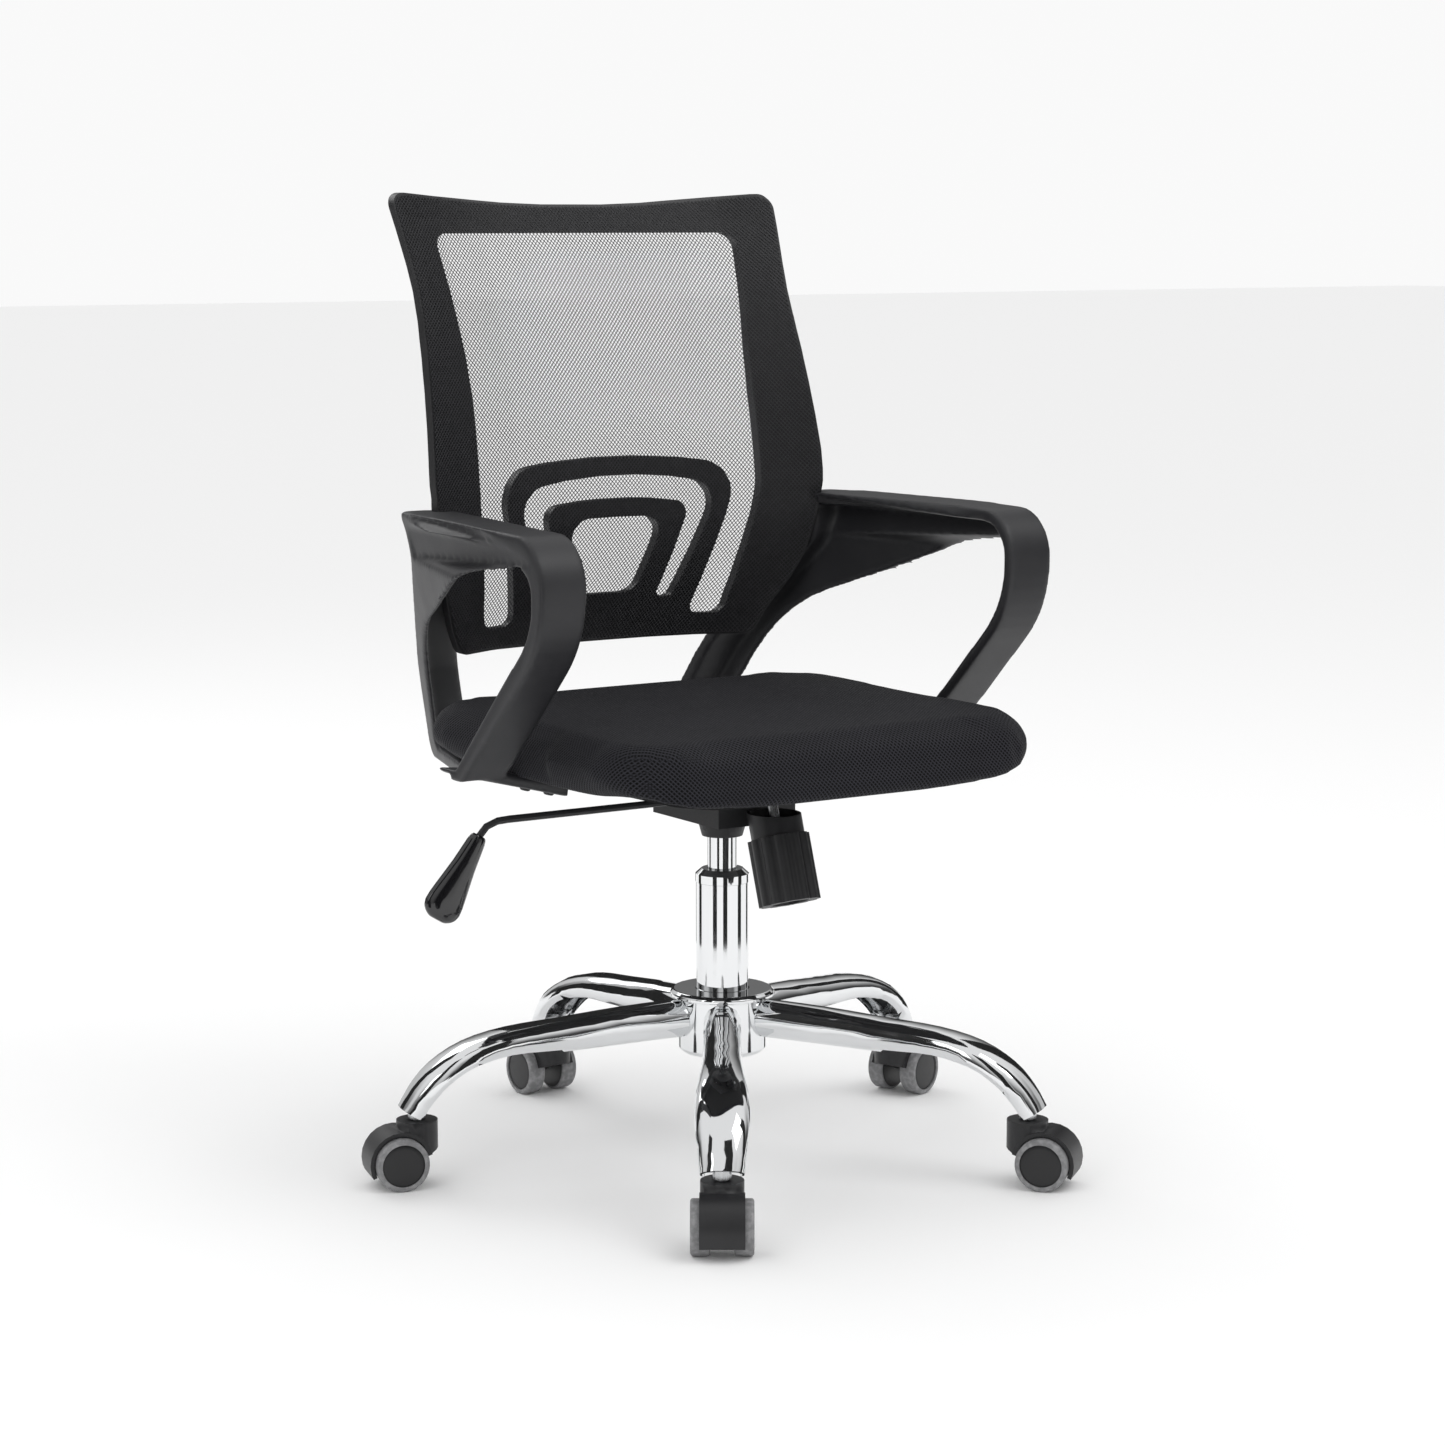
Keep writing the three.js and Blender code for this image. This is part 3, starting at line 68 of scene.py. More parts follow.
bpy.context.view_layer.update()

# Reading the CAD nodes
WELD_GAP = 0.005 * MM  # corners closer than this are one
FLAT_ANGLE = 0.4  # degrees between triangles that are one face
FACING = 0.3  # a face looks along an axis when its normal reaches this far that way
RAY_LEAD = 20 * MM  # rays at the back start this far before it

# Edges: how far they are rounded, and the least angle in degrees that is an edge
HUB_EDGE = 0.8 * MM
FRAME_EDGE = 1.5 * MM
EDGE_ANGLE = 35
HUB_EDGE_ANGLE = 40
LEG_EDGE_ANGLE = 45
KNOB_EDGE_ANGLE = 50
WHEEL_EDGE_ANGLE = 30

# Back cloth
THREAD_RADIUS = 0.4 * MM
THREAD_GAP = 3 * MM  # between neighbouring threads, square to them
THREAD_LEAN = math.radians(42)  # from upright
THREAD_STEP = 8 * MM  # between the points of one thread
THREAD_DEPTH = 0.75 * MM  # behind the cloth's front face
THREAD_CROSSING = 0.2 * MM  # one set of threads lies this far before the other
THREAD_SIDES = 5
CLOTH_HEM = 1 * MM  # kept clear at the cloth's edge
EDGE_HALVINGS = 8  # tries at finding where a thread meets the edge
CUT_SHARE = 0.99  # of the cloth's width and length that is measured, clear of its edges
CUT_STEPS = 100
CUT_HEIGHTS = (0.3, 0.4, 0.5)  # where the cloth is widest, as shares of its height

# Seat cushion
FOAM_VOXEL = 4.5 * MM
FOAM_START = 0.99  # of the finished size, before the foam fills its cover
FOAM_PRESSURE = 4
FOAM_SWELL = 8 * MM  # the furthest that the cover stands off
FOAM_FRAMES = 20
FOAM_REST_HEIGHT = 14 * MM  # of the foam held by the pan
WEAVE_PITCH = 4.2 * MM

# Flowing skins: the grid's size, and how often its corners are worn
HANDLE_GRAIN = 1.2 * MM
HANDLE_PASSES = 10
ARM_GRAIN = 2.2 * MM
ARM_PASSES = 22
FOAM_PASSES = 12
WEAR = 0.5  # how much of each corner one pass takes off

# Casters
TYRE_WIDTH = 5.6 * MM  # of the ring around the hub cap
TYRE_ROUND = 2.5 * MM
CAP_GROOVE = 0.7 * MM
CAP_RECESS = 0.9 * MM
CAP_DOME = 0.6 * MM
CAP_LIP = 1.3  # the lip's depth in recesses
CAP_FLOOR = 2  # the groove's depth in recesses
DOME_RINGS = (0.8, 0.5, 0.2)  # of the cap's radius
WHEEL_STEPS = 64
ROUND_STEPS = 5

# The room and its reflections
FLOOR_REACH = 30
ROOM_LIGHT = 0.95
ROOM_BANDS = 5  # light bands around the room, in reflections only
BAND_GLOW = 0.5
SKY_GLOW = 0.8
LEAST_GLOW = 0.04
FLAG_WIDTH = 0.32
FLAG_HEIGHT = 1.4
FLAG_DISTANCE = 1.0
FLAG_ANGLES = (-65, -20, 48, 105, 160, 215)  # degrees around the column, from -Y

# Screws
SCREW_RADIUS = 5 * MM
SCREW_HEIGHT = 2.4 * MM
SCREW_WALL = 0.35  # of its height, where the upright wall ends
SCREW_SHOULDER = (0.82, 0.85)  # shares of its radius and height
SCREW_RIM = 1.2  # sockets across the flat top
SCREW_SOCKET = 2.4 * MM
SCREW_SOCKET_DEPTH = 1.6 * MM
SCREW_STEPS = 24
SCREW_LEVEL = 0.37  # about the height of the armrests' feet
SCREW_SEARCH = 0.3  # rays for the screws start this far off
SCREWS_ACROSS = (0.175, 0.2)  # from the column's middle to each armrest's screws
SCREWS_BACK = (0.026, 0.165)  # behind the column, in the front and the rear feet
SCREW_MARGIN = 14 * MM  # from the seat plate's edges


class Value:
    """A number on a node's socket that takes part in arithmetic."""

    def __init__(self, nodes, socket):
        self.nodes = nodes
        self.socket = socket

    def math(self, operation, *values):
        return self.nodes.value("ShaderNodeMath", {"operation": operation}, enumerate(values))

    def __add__(self, other):
        return self.math("ADD", self, other)

    def __sub__(self, other):
        return self.math("SUBTRACT", self, other)

    def __rsub__(self, other):
        return self.math("SUBTRACT", other, self)

    def __mul__(self, other):
        return self.math("MULTIPLY", self, other)

    __radd__ = __add__
    __rmul__ = __mul__

    def sine(self):
        return self.math("SINE", self)

    def most(self, other):
        return self.math("MAXIMUM", self, other)

    def smooth(self, low, high):
        settings = {"interpolation_type": "SMOOTHSTEP"}
        values = {"Value": self, "From Min": low, "From Max": high}
        return self.nodes.value("ShaderNodeMapRange", settings, values.items())


class Nodes:
    """A node tree, with one method that adds any node."""

    def __init__(self, tree):
        self.tree = tree

    def add(self, kind, settings=None, values=()):
        node = self.tree.nodes.new(kind)
        for name, setting in (settings or {}).items():
            setattr(node, name, setting)
        for socket, value in values:
            self.feed(node.inputs[socket], value)
        return node

    def feed(self, socket, value):
        if isinstance(value, Value):
            self.tree.links.new(value.socket, socket)
        else:
            socket.default_value = value

    def value(self, kind, settings=None, values=(), output=0):
        return Value(self, self.add(kind, settings, values).outputs[output])


class Finish(Nodes):
    """A material whose constants sit on the shader's own sockets."""

    def __init__(self, name, color, roughness, **constants):
        self.material = bpy.data.materials.new(name)
        self.material.use_nodes = True
        super().__init__(self.material.node_tree)
        self.shader = self.tree.nodes["Principled BSDF"]
        self.set("Base Color", (*color, 1))
        self.set("Roughness", roughness)
        for key, constant in constants.items():
            self.set(key.replace("_", " ").title().replace("Ior", "IOR"), constant)

    def set(self, socket, value):
        self.feed(self.shader.inputs[socket], value)

    def place(self):
        """The three Object coordinates."""
        point = self.value("ShaderNodeTexCoord", output="Object")
        parts = self.add("ShaderNodeSeparateXYZ", values=[(0, point)])
        return [Value(self, socket) for socket in parts.outputs]

    def facing(self):
        """How far the surface faces along each axis, three shares that add up to one."""
        normal = self.value("ShaderNodeTexCoord", output="Normal")
        parts = self.add("ShaderNodeSeparateXYZ", values=[(0, normal)])
        squares = [Value(self, socket) * Value(self, socket) for socket in parts.outputs]
        sharp = [square * square for square in squares]
        whole = sharp[0] + sharp[1] + sharp[2]
        return [share.math("DIVIDE", share, whole) for share in sharp]

    def twill(self, across, along):
        """Two sets of diagonal cords, one standing prouder than the other, from 0 to 1."""
        turns = TURN / WEAVE_PITCH
        strong = ((across + along) * turns).sine()
        faint = ((across - along) * turns).sine()
        return strong.most(faint * 0.55) * 0.5 + 0.5

    def noise(self, size, detail=2, stretch=(1, 1, 1)):
        """Cloudy variation from 0 to 1 whose patches are about the given size."""
        point = self.value("ShaderNodeTexCoord", output="Object")
        point = self.value("ShaderNodeMapping", values=[("Vector", point), ("Scale", stretch)])
        values = {"Vector": point, "Scale": 1 / size, "Detail": detail}
        return self.value("ShaderNodeTexNoise", values=values.items())

    def tint(self, factor, first, second):
        """Base Color, from the first colour to the second as the factor rises."""
        values = [(0, factor), (6, (*first, 1)), (7, (*second, 1))]
        self.set("Base Color", self.value("ShaderNodeMix", {"data_type": "RGBA"}, values, output=2))

    def bump(self, height, depth, strength=1):
        values = {"Height": height, "Distance": depth, "Strength": strength}
        self.set("Normal", self.value("ShaderNodeBump", values=values.items()))


def chrome_plate():
    finish = Finish("chrome_plate", (0.83, 0.84, 0.85), 0.05, metallic=1)
    smears = finish.noise(28 * MM, 4)
    finish.set("Roughness", 0.045 + smears.smooth(0.45, 0.8) * 0.07)
    return finish.material


def zinc_plate():
    finish = Finish("zinc_plate", (0.6, 0.61, 0.62), 0.3, metallic=1)
    drawn = finish.noise(1.2 * MM, 3, (1, 1, 0.03))
    finish.tint(drawn, (0.5, 0.51, 0.52), (0.68, 0.69, 0.7))
    finish.set("Roughness", 0.2 + drawn * 0.16)
    return finish.material


def powder_coat():
    finish = Finish("powder_coat", (0.012, 0.012, 0.014), 0.5)
    grain = finish.noise(1.1 * MM, 3)
    finish.tint(finish.noise(30 * MM), (0.009, 0.009, 0.01), (0.018, 0.018, 0.02))
    finish.set("Roughness", 0.42 + grain * 0.2)
    finish.bump(grain, 0.12 * MM)
    return finish.material


def moulded_plastic():
    finish = Finish("moulded_plastic", (0.012, 0.012, 0.013), 0.4)
    grain = finish.noise(0.7 * MM, 2)
    finish.tint(finish.noise(18 * MM, 3), (0.008, 0.008, 0.009), (0.017, 0.017, 0.019))
    finish.set("Roughness", 0.34 + grain * 0.14)
    finish.bump(grain, 0.05 * MM)
    return finish.material


def gloss_plastic():
    finish = Finish("gloss_plastic", (0.006, 0.006, 0.007), 0.12, coat_weight=0.6)
    finish.set("Roughness", 0.09 + finish.noise(14 * MM, 3) * 0.08)
    finish.bump(finish.noise(9 * MM, 1), 0.03 * MM)
    return finish.material


def satin_nylon():
    finish = Finish("satin_nylon", (0.03, 0.03, 0.034), 0.42)
    pebbles = finish.noise(0.9 * MM, 2)
    clouds = finish.noise(35 * MM, 3)
    finish.tint(clouds, (0.013, 0.013, 0.015), (0.021, 0.021, 0.024))
    finish.set("Roughness", 0.36 + clouds * 0.12 + pebbles * 0.08)
    finish.bump(pebbles, 0.09 * MM)
    return finish.material


def tyre_rubber():
    finish = Finish("tyre_rubber", (0.14, 0.14, 0.145), 0.6)
    dust = finish.noise(5 * MM, 4)
    finish.tint(dust.smooth(0.35, 0.75), (0.17, 0.17, 0.175), (0.27, 0.27, 0.275))
    finish.bump(finish.noise(0.8 * MM), 0.08 * MM)
    return finish.material


def wheel_cap_plastic():
    finish = Finish("wheel_cap_plastic", (0.01, 0.01, 0.011), 0.3)
    finish.set("Roughness", 0.24 + finish.noise(7 * MM, 3) * 0.18)
    finish.bump(finish.noise(0.6 * MM), 0.03 * MM)
    return finish.material


def woven_cover():
    """Spacer fabric: two sets of diagonal cords over black foam, the cords' lighter colour partly the
    weave's own pattern and partly a painted highlight.
    """
    shine = {"sheen_weight": 0.03, "specular_ior_level": 0.12}
    finish = Finish("woven_cover", (0.01, 0.01, 0.012), 0.8, **shine)
    x, y, z = finish.place()
    sideways, forwards, upwards = finish.facing()
    top = finish.twill(x, y) * upwards
    front = finish.twill(x, z) * forwards
    side = finish.twill(y, z) * sideways
    cords = top + front + side
    patches = finish.noise(60 * MM, 3)
    # The cords are painted lighter than the dark gaps: partly the weave's own pattern, partly a painted
    # highlight on the cords, varied in random patches.
    weave_and_highlight = cords.smooth(0.35, 1) * (0.75 + patches * 0.5)
    finish.tint(weave_and_highlight, (0.0008, 0.0008, 0.001), (0.026, 0.026, 0.032))
    finish.set("Roughness", 0.9 - cords * 0.25)
    finish.bump(cords, 0.7 * MM, 0.8)
    return finish.material


def thread():
    finish = Finish("thread", (0.012, 0.012, 0.014), 0.5)
    finish.tint(finish.noise(6 * MM, 2), (0.012, 0.012, 0.014), (0.04, 0.04, 0.045))
    finish.bump(finish.noise(0.3 * MM, 1), 0.05 * MM)
    return finish.material


def beech_ply():
    finish = Finish("beech_ply", (0.5, 0.33, 0.19), 0.6)
    grain = finish.noise(7 * MM, 5, (1, 0.06, 1))
    finish.tint(grain.smooth(0.3, 0.7), (0.42, 0.26, 0.14), (0.6, 0.43, 0.27))
    finish.bump(grain, 0.15 * MM)
    return finish.material


def dust_cloth():
    """The thin black cover under the pan and around its edge."""
    finish = Finish("dust_cloth", (0.008, 0.008, 0.009), 0.9)
    fibres = finish.noise(1.5 * MM, 5)
    finish.tint(fibres, (0.004, 0.004, 0.005), (0.014, 0.014, 0.015))
    finish.bump(fibres, 0.2 * MM)
    return finish.material


FINISHES = {
    "chrome": chrome_plate(),
    "steel": zinc_plate(),
    "black_steel": powder_coat(),
    "black_plastic": moulded_plastic(),
    "gloss_plastic": gloss_plastic(),
    "charcoal_nylon": satin_nylon(),
    "wheel_plastic": wheel_cap_plastic(),
    "seat_fabric": woven_cover(),
    "back_mesh": thread(),
    "plywood": beech_ply(),
}
TYRE = tyre_rubber()

# Each node's slot in the record, read before the finishes take the slots' place
SLOTS = {name: node.data.materials[0].name.split(".")[0] for name, node in frame["nodes"].items()}


def body_of(node):
    return frame["nodes"][node]["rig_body"]


def new_object(name, mesh, *materials):
    made = bpy.data.objects.new(name, mesh)
    bpy.context.scene.collection.objects.link(made)
    if mesh.materials:
        mesh.materials.clear()
    for material in materials:
        mesh.materials.append(material)
    return made


def applied(piece):
    """The piece as a plain mesh, its modifiers worked in and taken off."""
    view = bpy.context.evaluated_depsgraph_get()
    mesh = bpy.data.meshes.new_from_object(piece.evaluated_get(view))
    piece.modifiers.clear()
    piece.data = mesh
    return piece


def installed(piece, slot, *nodes):
    """The piece stands for its CAD nodes and moves with their body."""
    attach(piece, body_of(nodes[0]))
    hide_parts(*nodes)
    return piece


def painted(piece, material):
    piece.data.materials.clear()
    piece.data.materials.append(material)
    piece.data.shade_smooth()


def gridded(piece, grain):
    remesh = piece.modifiers.new("grid", "REMESH")
    remesh.mode = "VOXEL"
    remesh.voxel_size = grain


def worn(piece, passes):
    flow = piece.modifiers.new("flow", "SMOOTH")
    flow.factor = WEAR
    flow.iterations = passes


def welded(node):
    """The node's mesh with its loose triangles joined up and its flat faces whole."""
    mesh = frame["nodes"][node].data.copy()
    made = bmesh.new()
    made.from_mesh(mesh)
    bmesh.ops.remove_doubles(made, verts=made.verts, dist=WELD_GAP)
    angle = math.radians(FLAT_ANGLE)
    bmesh.ops.dissolve_limit(made, angle_limit=angle, verts=made.verts, edges=made.edges)
    made.to_mesh(mesh)
    made.free()
    return mesh


def surface_of(node):
    made = bmesh.new()
    made.from_mesh(frame["nodes"][node].data)
    tree = BVHTree.FromBMesh(made)
    made.free()
    return tree


def eased(node, edge=0, edge_angle=EDGE_ANGLE):
    """The node with its outer edges rounded off and its curves shaded smooth."""
    slot = SLOTS[node]
    piece = new_object(f"{node}_shell", welded(node), FINISHES[slot])
    piece.data.shade_smooth()
    piece.data.set_sharp_from_angle(angle=math.radians(edge_angle))
    if edge:
        bevel = piece.modifiers.new("edges", "BEVEL")
        bevel.width = edge
        bevel.segments = 2
        bevel.limit_method = "ANGLE"
        bevel.angle_limit = math.radians(edge_angle)
    weighted = piece.modifiers.new("normals", "WEIGHTED_NORMAL")
    weighted.keep_sharp = True
    return installed(applied(piece), slot, node)


def moulded(node, grain, passes):
    """The node as one flowing skin: a fine grid over it, with its corners worn round."""
    slot = SLOTS[node]
    piece = new_object(f"{node}_shell", welded(node), FINISHES[slot])
    gridded(piece, grain)
    worn(piece, passes)
    painted(applied(piece), FINISHES[slot])
    return installed(piece, slot, node)


def covered_pan():
    """The plywood pan, its underside and edges behind a black dust cloth."""
    piece = eased("seat_pan")
    piece.data.materials.append(dust_cloth())
    for face in piece.data.polygons:
        face.material_index = 1 if face.normal.z < FACING else 0


def numbered(*stems):
    return [f"{stem}_{n}" for stem in stems for n in range(1, 6)]


def joint(name):
    return next(j for j in frame["joints"] if j["name"] == name)


def wheel_profile(radius, width):
    """Half of a wheel's section, as (radius, distance from its inner face, 1 on the tyre)."""
    cap = radius - TYRE_WIDTH
    tread = []
    for end in (0, 1):
        middle = TYRE_ROUND if end == 0 else width - TYRE_ROUND
        for step in range(ROUND_STEPS + 1):
            angle = math.pi / 2 * (step / ROUND_STEPS + end - 1)
            out = radius - TYRE_ROUND + TYRE_ROUND * math.cos(angle)
            tread.append((out, middle + TYRE_ROUND * math.sin(angle), 1))
    floor_depth = width - CAP_RECESS * CAP_FLOOR
    lip_depth = width - CAP_RECESS * CAP_LIP
    face_depth = width - CAP_RECESS
    rim = [(cap + CAP_GROOVE, width, 1), (cap + CAP_GROOVE, floor_depth, 0)]
    face = [(cap, floor_depth, 0), (cap, lip_depth, 0), (cap - CAP_GROOVE, face_depth, 0)]
    dome = [(cap * share, face_depth + CAP_DOME * (1 - share * share), 0) for share in DOME_RINGS]
    return [(cap, 0, 0), *tread, *rim, *face, *dome]


def wheel(side, number):
    """A caster wheel: a grey tyre around a recessed black hub cap."""
    node = f"wheel_{side}_{number}"
    turning = joint(f"wheel_spin_{side}_{number}")
    axis = Vector(turning["axis"]).normalized()
    centre = Vector(turning["pos_m"])
    points = [v.co - centre for v in frame["nodes"][node].data.vertices]
    along = [p.dot(axis) for p in points]
    outward = 1 if abs(max(along)) > abs(min(along)) else -1
    inner = min(along) if outward > 0 else max(along)
    radius = max((p - axis * p.dot(axis)).length for p in points)
    up = Vector((0, 0, 1))
    beside = axis.cross(up)
    made = bmesh.new()
    profile = wheel_profile(radius, max(along) - min(along))
    angles = [TURN * k / WHEEL_STEPS for k in range(WHEEL_STEPS)]
    spokes = [up * math.sin(a) + beside * math.cos(a) for a in angles]
    rings = []
    for out, depth, _ in profile:
        middle = centre + axis * (inner + depth * outward)
        rings.append([made.verts.new(middle + spoke * out) for spoke in spokes])
    for (first, second), start in zip(zip(rings, rings[1:]), profile):
        for k in range(WHEEL_STEPS):
            after = (k + 1) % WHEEL_STEPS
            face = made.faces.new((first[k], first[after], second[after], second[k]))
            face.material_index = start[2]
    made.faces.new(rings[0])
    made.faces.new(rings[-1])
    bmesh.ops.recalc_face_normals(made, faces=made.faces)
    mesh = bpy.data.meshes.new(node)
    made.to_mesh(mesh)
    made.free()
    piece = new_object(f"{node}_shell", mesh, FINISHES["wheel_plastic"], TYRE)
    mesh.shade_smooth()
    mesh.set_sharp_from_angle(angle=math.radians(WHEEL_EDGE_ANGLE))
    return installed(piece, "wheel_plastic", node)


def geometry_tree(name, inputs):
    """A Geometry Nodes tree with named inputs after its geometry."""
    tree = bpy.data.node_groups.new(name, "GeometryNodeTree")
    tree.interface.new_socket("Geometry", in_out="INPUT", socket_type="NodeSocketGeometry")
    for label, kind in inputs.items():
        tree.interface.new_socket(label, in_out="INPUT", socket_type=kind)
    tree.interface.new_socket("Geometry", in_out="OUTPUT", socket_type="NodeSocketGeometry")
    nodes = Nodes(tree)
    entry = nodes.add("NodeGroupInput")
    return nodes, {socket.name: Value(nodes, socket) for socket in entry.outputs if socket.name}


def close_tree(nodes, geometry, material):
    whole = nodes.value("GeometryNodeRealizeInstances", values=[(0, geometry)])
    parts = {"Geometry": whole, "Material": material}
    coloured = nodes.value("GeometryNodeSetMaterial", values=parts.items())
    nodes.add("NodeGroupOutput", values=[(0, coloured)])


def grown(piece, tree, settings):
    """The piece as the tree makes it."""
    modifier = piece.modifiers.new(tree.name, "NODES")
    modifier.node_group = tree
    for item in tree.interface.items_tree:
        if item.in_out == "INPUT" and item.name in settings:
            modifier[item.identifier] = settings[item.name]
    return applied(piece)


def thread_tree():
    """Round threads along every edge of a wire."""
    kinds = {"Thread radius": "NodeSocketFloat", "Sides": "NodeSocketInt"}
    kinds["Material"] = "NodeSocketMaterial"
    nodes, inputs = geometry_tree("threads", kinds)
    lines = nodes.value("GeometryNodeMeshToCurve", values=[("Mesh", inputs["Geometry"])])
    section = [("Resolution", inputs["Sides"]), ("Radius", inputs["Thread radius"])]
    ring = nodes.value("GeometryNodeCurvePrimitiveCircle", values=section)
    parts = {"Curve": lines, "Profile Curve": ring, "Fill Caps": True}
    tubes = nodes.value("GeometryNodeCurveToMesh", values=parts.items())
    close_tree(nodes, tubes, inputs["Material"])
    return nodes.tree


def met(surface, x, z, low):
    """Where a level ray from before the back first meets the surface, or None."""
    return surface.ray_cast(Vector((x, low.y - RAY_LEAD, z)), Vector((0, 1, 0)))[0]


def cloth_runs(surface, low, high):
    """The threads' courses over the back, in two sets that cross."""
    middle = (low + high) / 2
    reach = (high - low).length / 2
    steps = math.ceil(reach / THREAD_STEP)
    for lean in (1, -1):
        along = Vector((lean * math.sin(THREAD_LEAN), 0, math.cos(THREAD_LEAN)))
        aside = Vector((along.z, 0, -along.x))
        depth = THREAD_DEPTH + lean * THREAD_CROSSING / 2

        def touch(distance, offset):
            spot = middle + aside * offset + along * distance
            hit = met(surface, spot.x, spot.z, low)
            return hit and hit + Vector((0, depth, 0))

        def edge(on, off, offset):
            for _ in range(EDGE_HALVINGS):
                half = (on + off) / 2
                on, off = (half, off) if touch(half, offset) else (on, half)
            return on + math.copysign(CLOTH_HEM, on - off)

        count = math.ceil(reach / THREAD_GAP)
        for index in range(-count, count + 1):
            offset = index * THREAD_GAP
            run = []
            for step in range(-steps, steps + 1):
                distance = step * THREAD_STEP
                point = touch(distance, offset)
                if point and not run:
                    start = touch(edge(distance, distance - THREAD_STEP, offset), offset)
                    run = [start] if start else []
                if point:
                    run.append(point)
                elif run:
                    end = touch(edge(distance - THREAD_STEP, distance, offset), offset)
                    yield run + ([end] if end else [])
                    run = []


def back_cloth():
    """The mesh cloth of the back, thread by thread."""
    low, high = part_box("back_mesh")
    points, edges = [], []
    for run in cloth_runs(surface_of("back_mesh"), low, high):
        run = [p for p, q in zip(run, run[1:]) if (p - q).length > THREAD_RADIUS] + run[-1:]
        edges += [(len(points) + k, len(points) + k + 1) for k in range(len(run) - 1)]
        points += run
    mesh = bpy.data.meshes.new("back_cloth")
    mesh.from_pydata(points, edges, [])
    piece = new_object("back_cloth", mesh, FINISHES["back_mesh"])
    settings = {"Thread radius": THREAD_RADIUS, "Sides": THREAD_SIDES}
    settings["Material"] = FINISHES["back_mesh"]
    grown(piece, thread_tree(), settings)
    return installed(piece, "back_mesh", "back_mesh")


def cloth_cut():
    """The flat cloth's width, length and area, measured over the back's front face."""
    mesh = frame["nodes"]["back_mesh"].data
    low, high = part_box("back_mesh")
    front = [f for f in mesh.polygons if f.normal.y < -FACING]
    area = sum(f.area for f in front)
    surface = surface_of("back_mesh")

    def length(start, end):
        hits = []
        for step in range(CUT_STEPS + 1):
            spot = start.lerp(end, (1 - CUT_SHARE) / 2 + CUT_SHARE * step / CUT_STEPS)
            hit = met(surface, spot.x, spot.z, low)
            if hit:
                hits.append(hit)
        return sum((p - q).length for p, q in zip(hits, hits[1:])) / CUT_SHARE

    middle = (low + high) / 2
    tall = length(Vector((middle.x, 0, low.z)), Vector((middle.x, 0, high.z)))
    heights = [low.z + (high.z - low.z) * share for share in CUT_HEIGHTS]
    wide = max(length(Vector((low.x, 0, z)), Vector((high.x, 0, z))) for z in heights)
    return wide, tall, area


def seat_cushion():
    """The seat's padding, filled out under its cover and held by the pan below."""
    node = "seat_cushion"
    low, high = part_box(node)
    middle = Vector(((low.x + high.x) / 2, (low.y + high.y) / 2, low.z))
    piece = new_object("seat_padding", welded(node), FINISHES["seat_fabric"])
    gridded(piece, FOAM_VOXEL)
    applied(piece)
    for v in piece.data.vertices:
        v.co = middle + (v.co - middle) * FOAM_START
    resting = [v.index for v in piece.data.vertices if v.co.z < low.z + FOAM_REST_HEIGHT]
    held = piece.vertex_groups.new(name="held")
    held.add(resting, 1, "REPLACE")
    start = [v.co.copy() for v in piece.data.vertices]
    fill_out(piece, start)
    keep_within(piece, low, high)
    worn(piece, FOAM_PASSES)
    rounding = piece.modifiers.new("rounding", "SUBSURF")
    rounding.levels = rounding.render_levels = 1
    applied(piece)
    piece.vertex_groups.clear()
    painted(piece, FINISHES["seat_fabric"])
    installed(piece, "seat_fabric", node)
    return piece


def fill_out(piece, start):
    """The cover as it stands off when the foam presses it from inside."""
    cloth = piece.modifiers.new("cover", "CLOTH")
    settings = cloth.settings
    settings.quality = 5
    settings.use_pressure = True
    settings.uniform_pressure_force = FOAM_PRESSURE
    settings.vertex_group_mass = "held"
    settings.effector_weights.gravity = 0
    cloth.point_cache.frame_start = 1
    cloth.point_cache.frame_end = FOAM_FRAMES
    for number in range(1, FOAM_FRAMES + 1):
        bpy.context.scene.frame_set(number)
    applied(piece)
    bpy.context.scene.frame_set(1)
    for v, was in zip(piece.data.vertices, start):
        moved = v.co - was
        if moved.length > FOAM_SWELL:
            v.co = was + moved * (FOAM_SWELL / moved.length)


def keep_within(piece, low, high):
    """The piece's points brought inside the box."""
    for v in piece.data.vertices:
        v.co = Vector(min(max(value, a), b) for value, a, b in zip(v.co, low, high))


def screw_tree():
    """A copy of the screw on every point, turned to the point's own direction."""
    kinds = {"Screw": "NodeSocketObject", "Material": "NodeSocketMaterial"}
    nodes, inputs = geometry_tree("screws", kinds)
    vector = {"data_type": "FLOAT_VECTOR"}
    facing = nodes.value("GeometryNodeInputNamedAttribute", vector, [("Name", "facing")])
    turned = nodes.value("FunctionNodeAlignRotationToVector", {"axis": "Z"}, [("Vector", facing)])
    original = [("Object", inputs["Screw"])]
    screw = nodes.value("GeometryNodeObjectInfo", values=original, output="Geometry")
    parts = {"Points": inputs["Geometry"], "Instance": screw, "Rotation": turned}
    placed = nodes.value("GeometryNodeInstanceOnPoints", values=parts.items())
    close_tree(nodes, placed, inputs["Material"])
    return nodes.tree


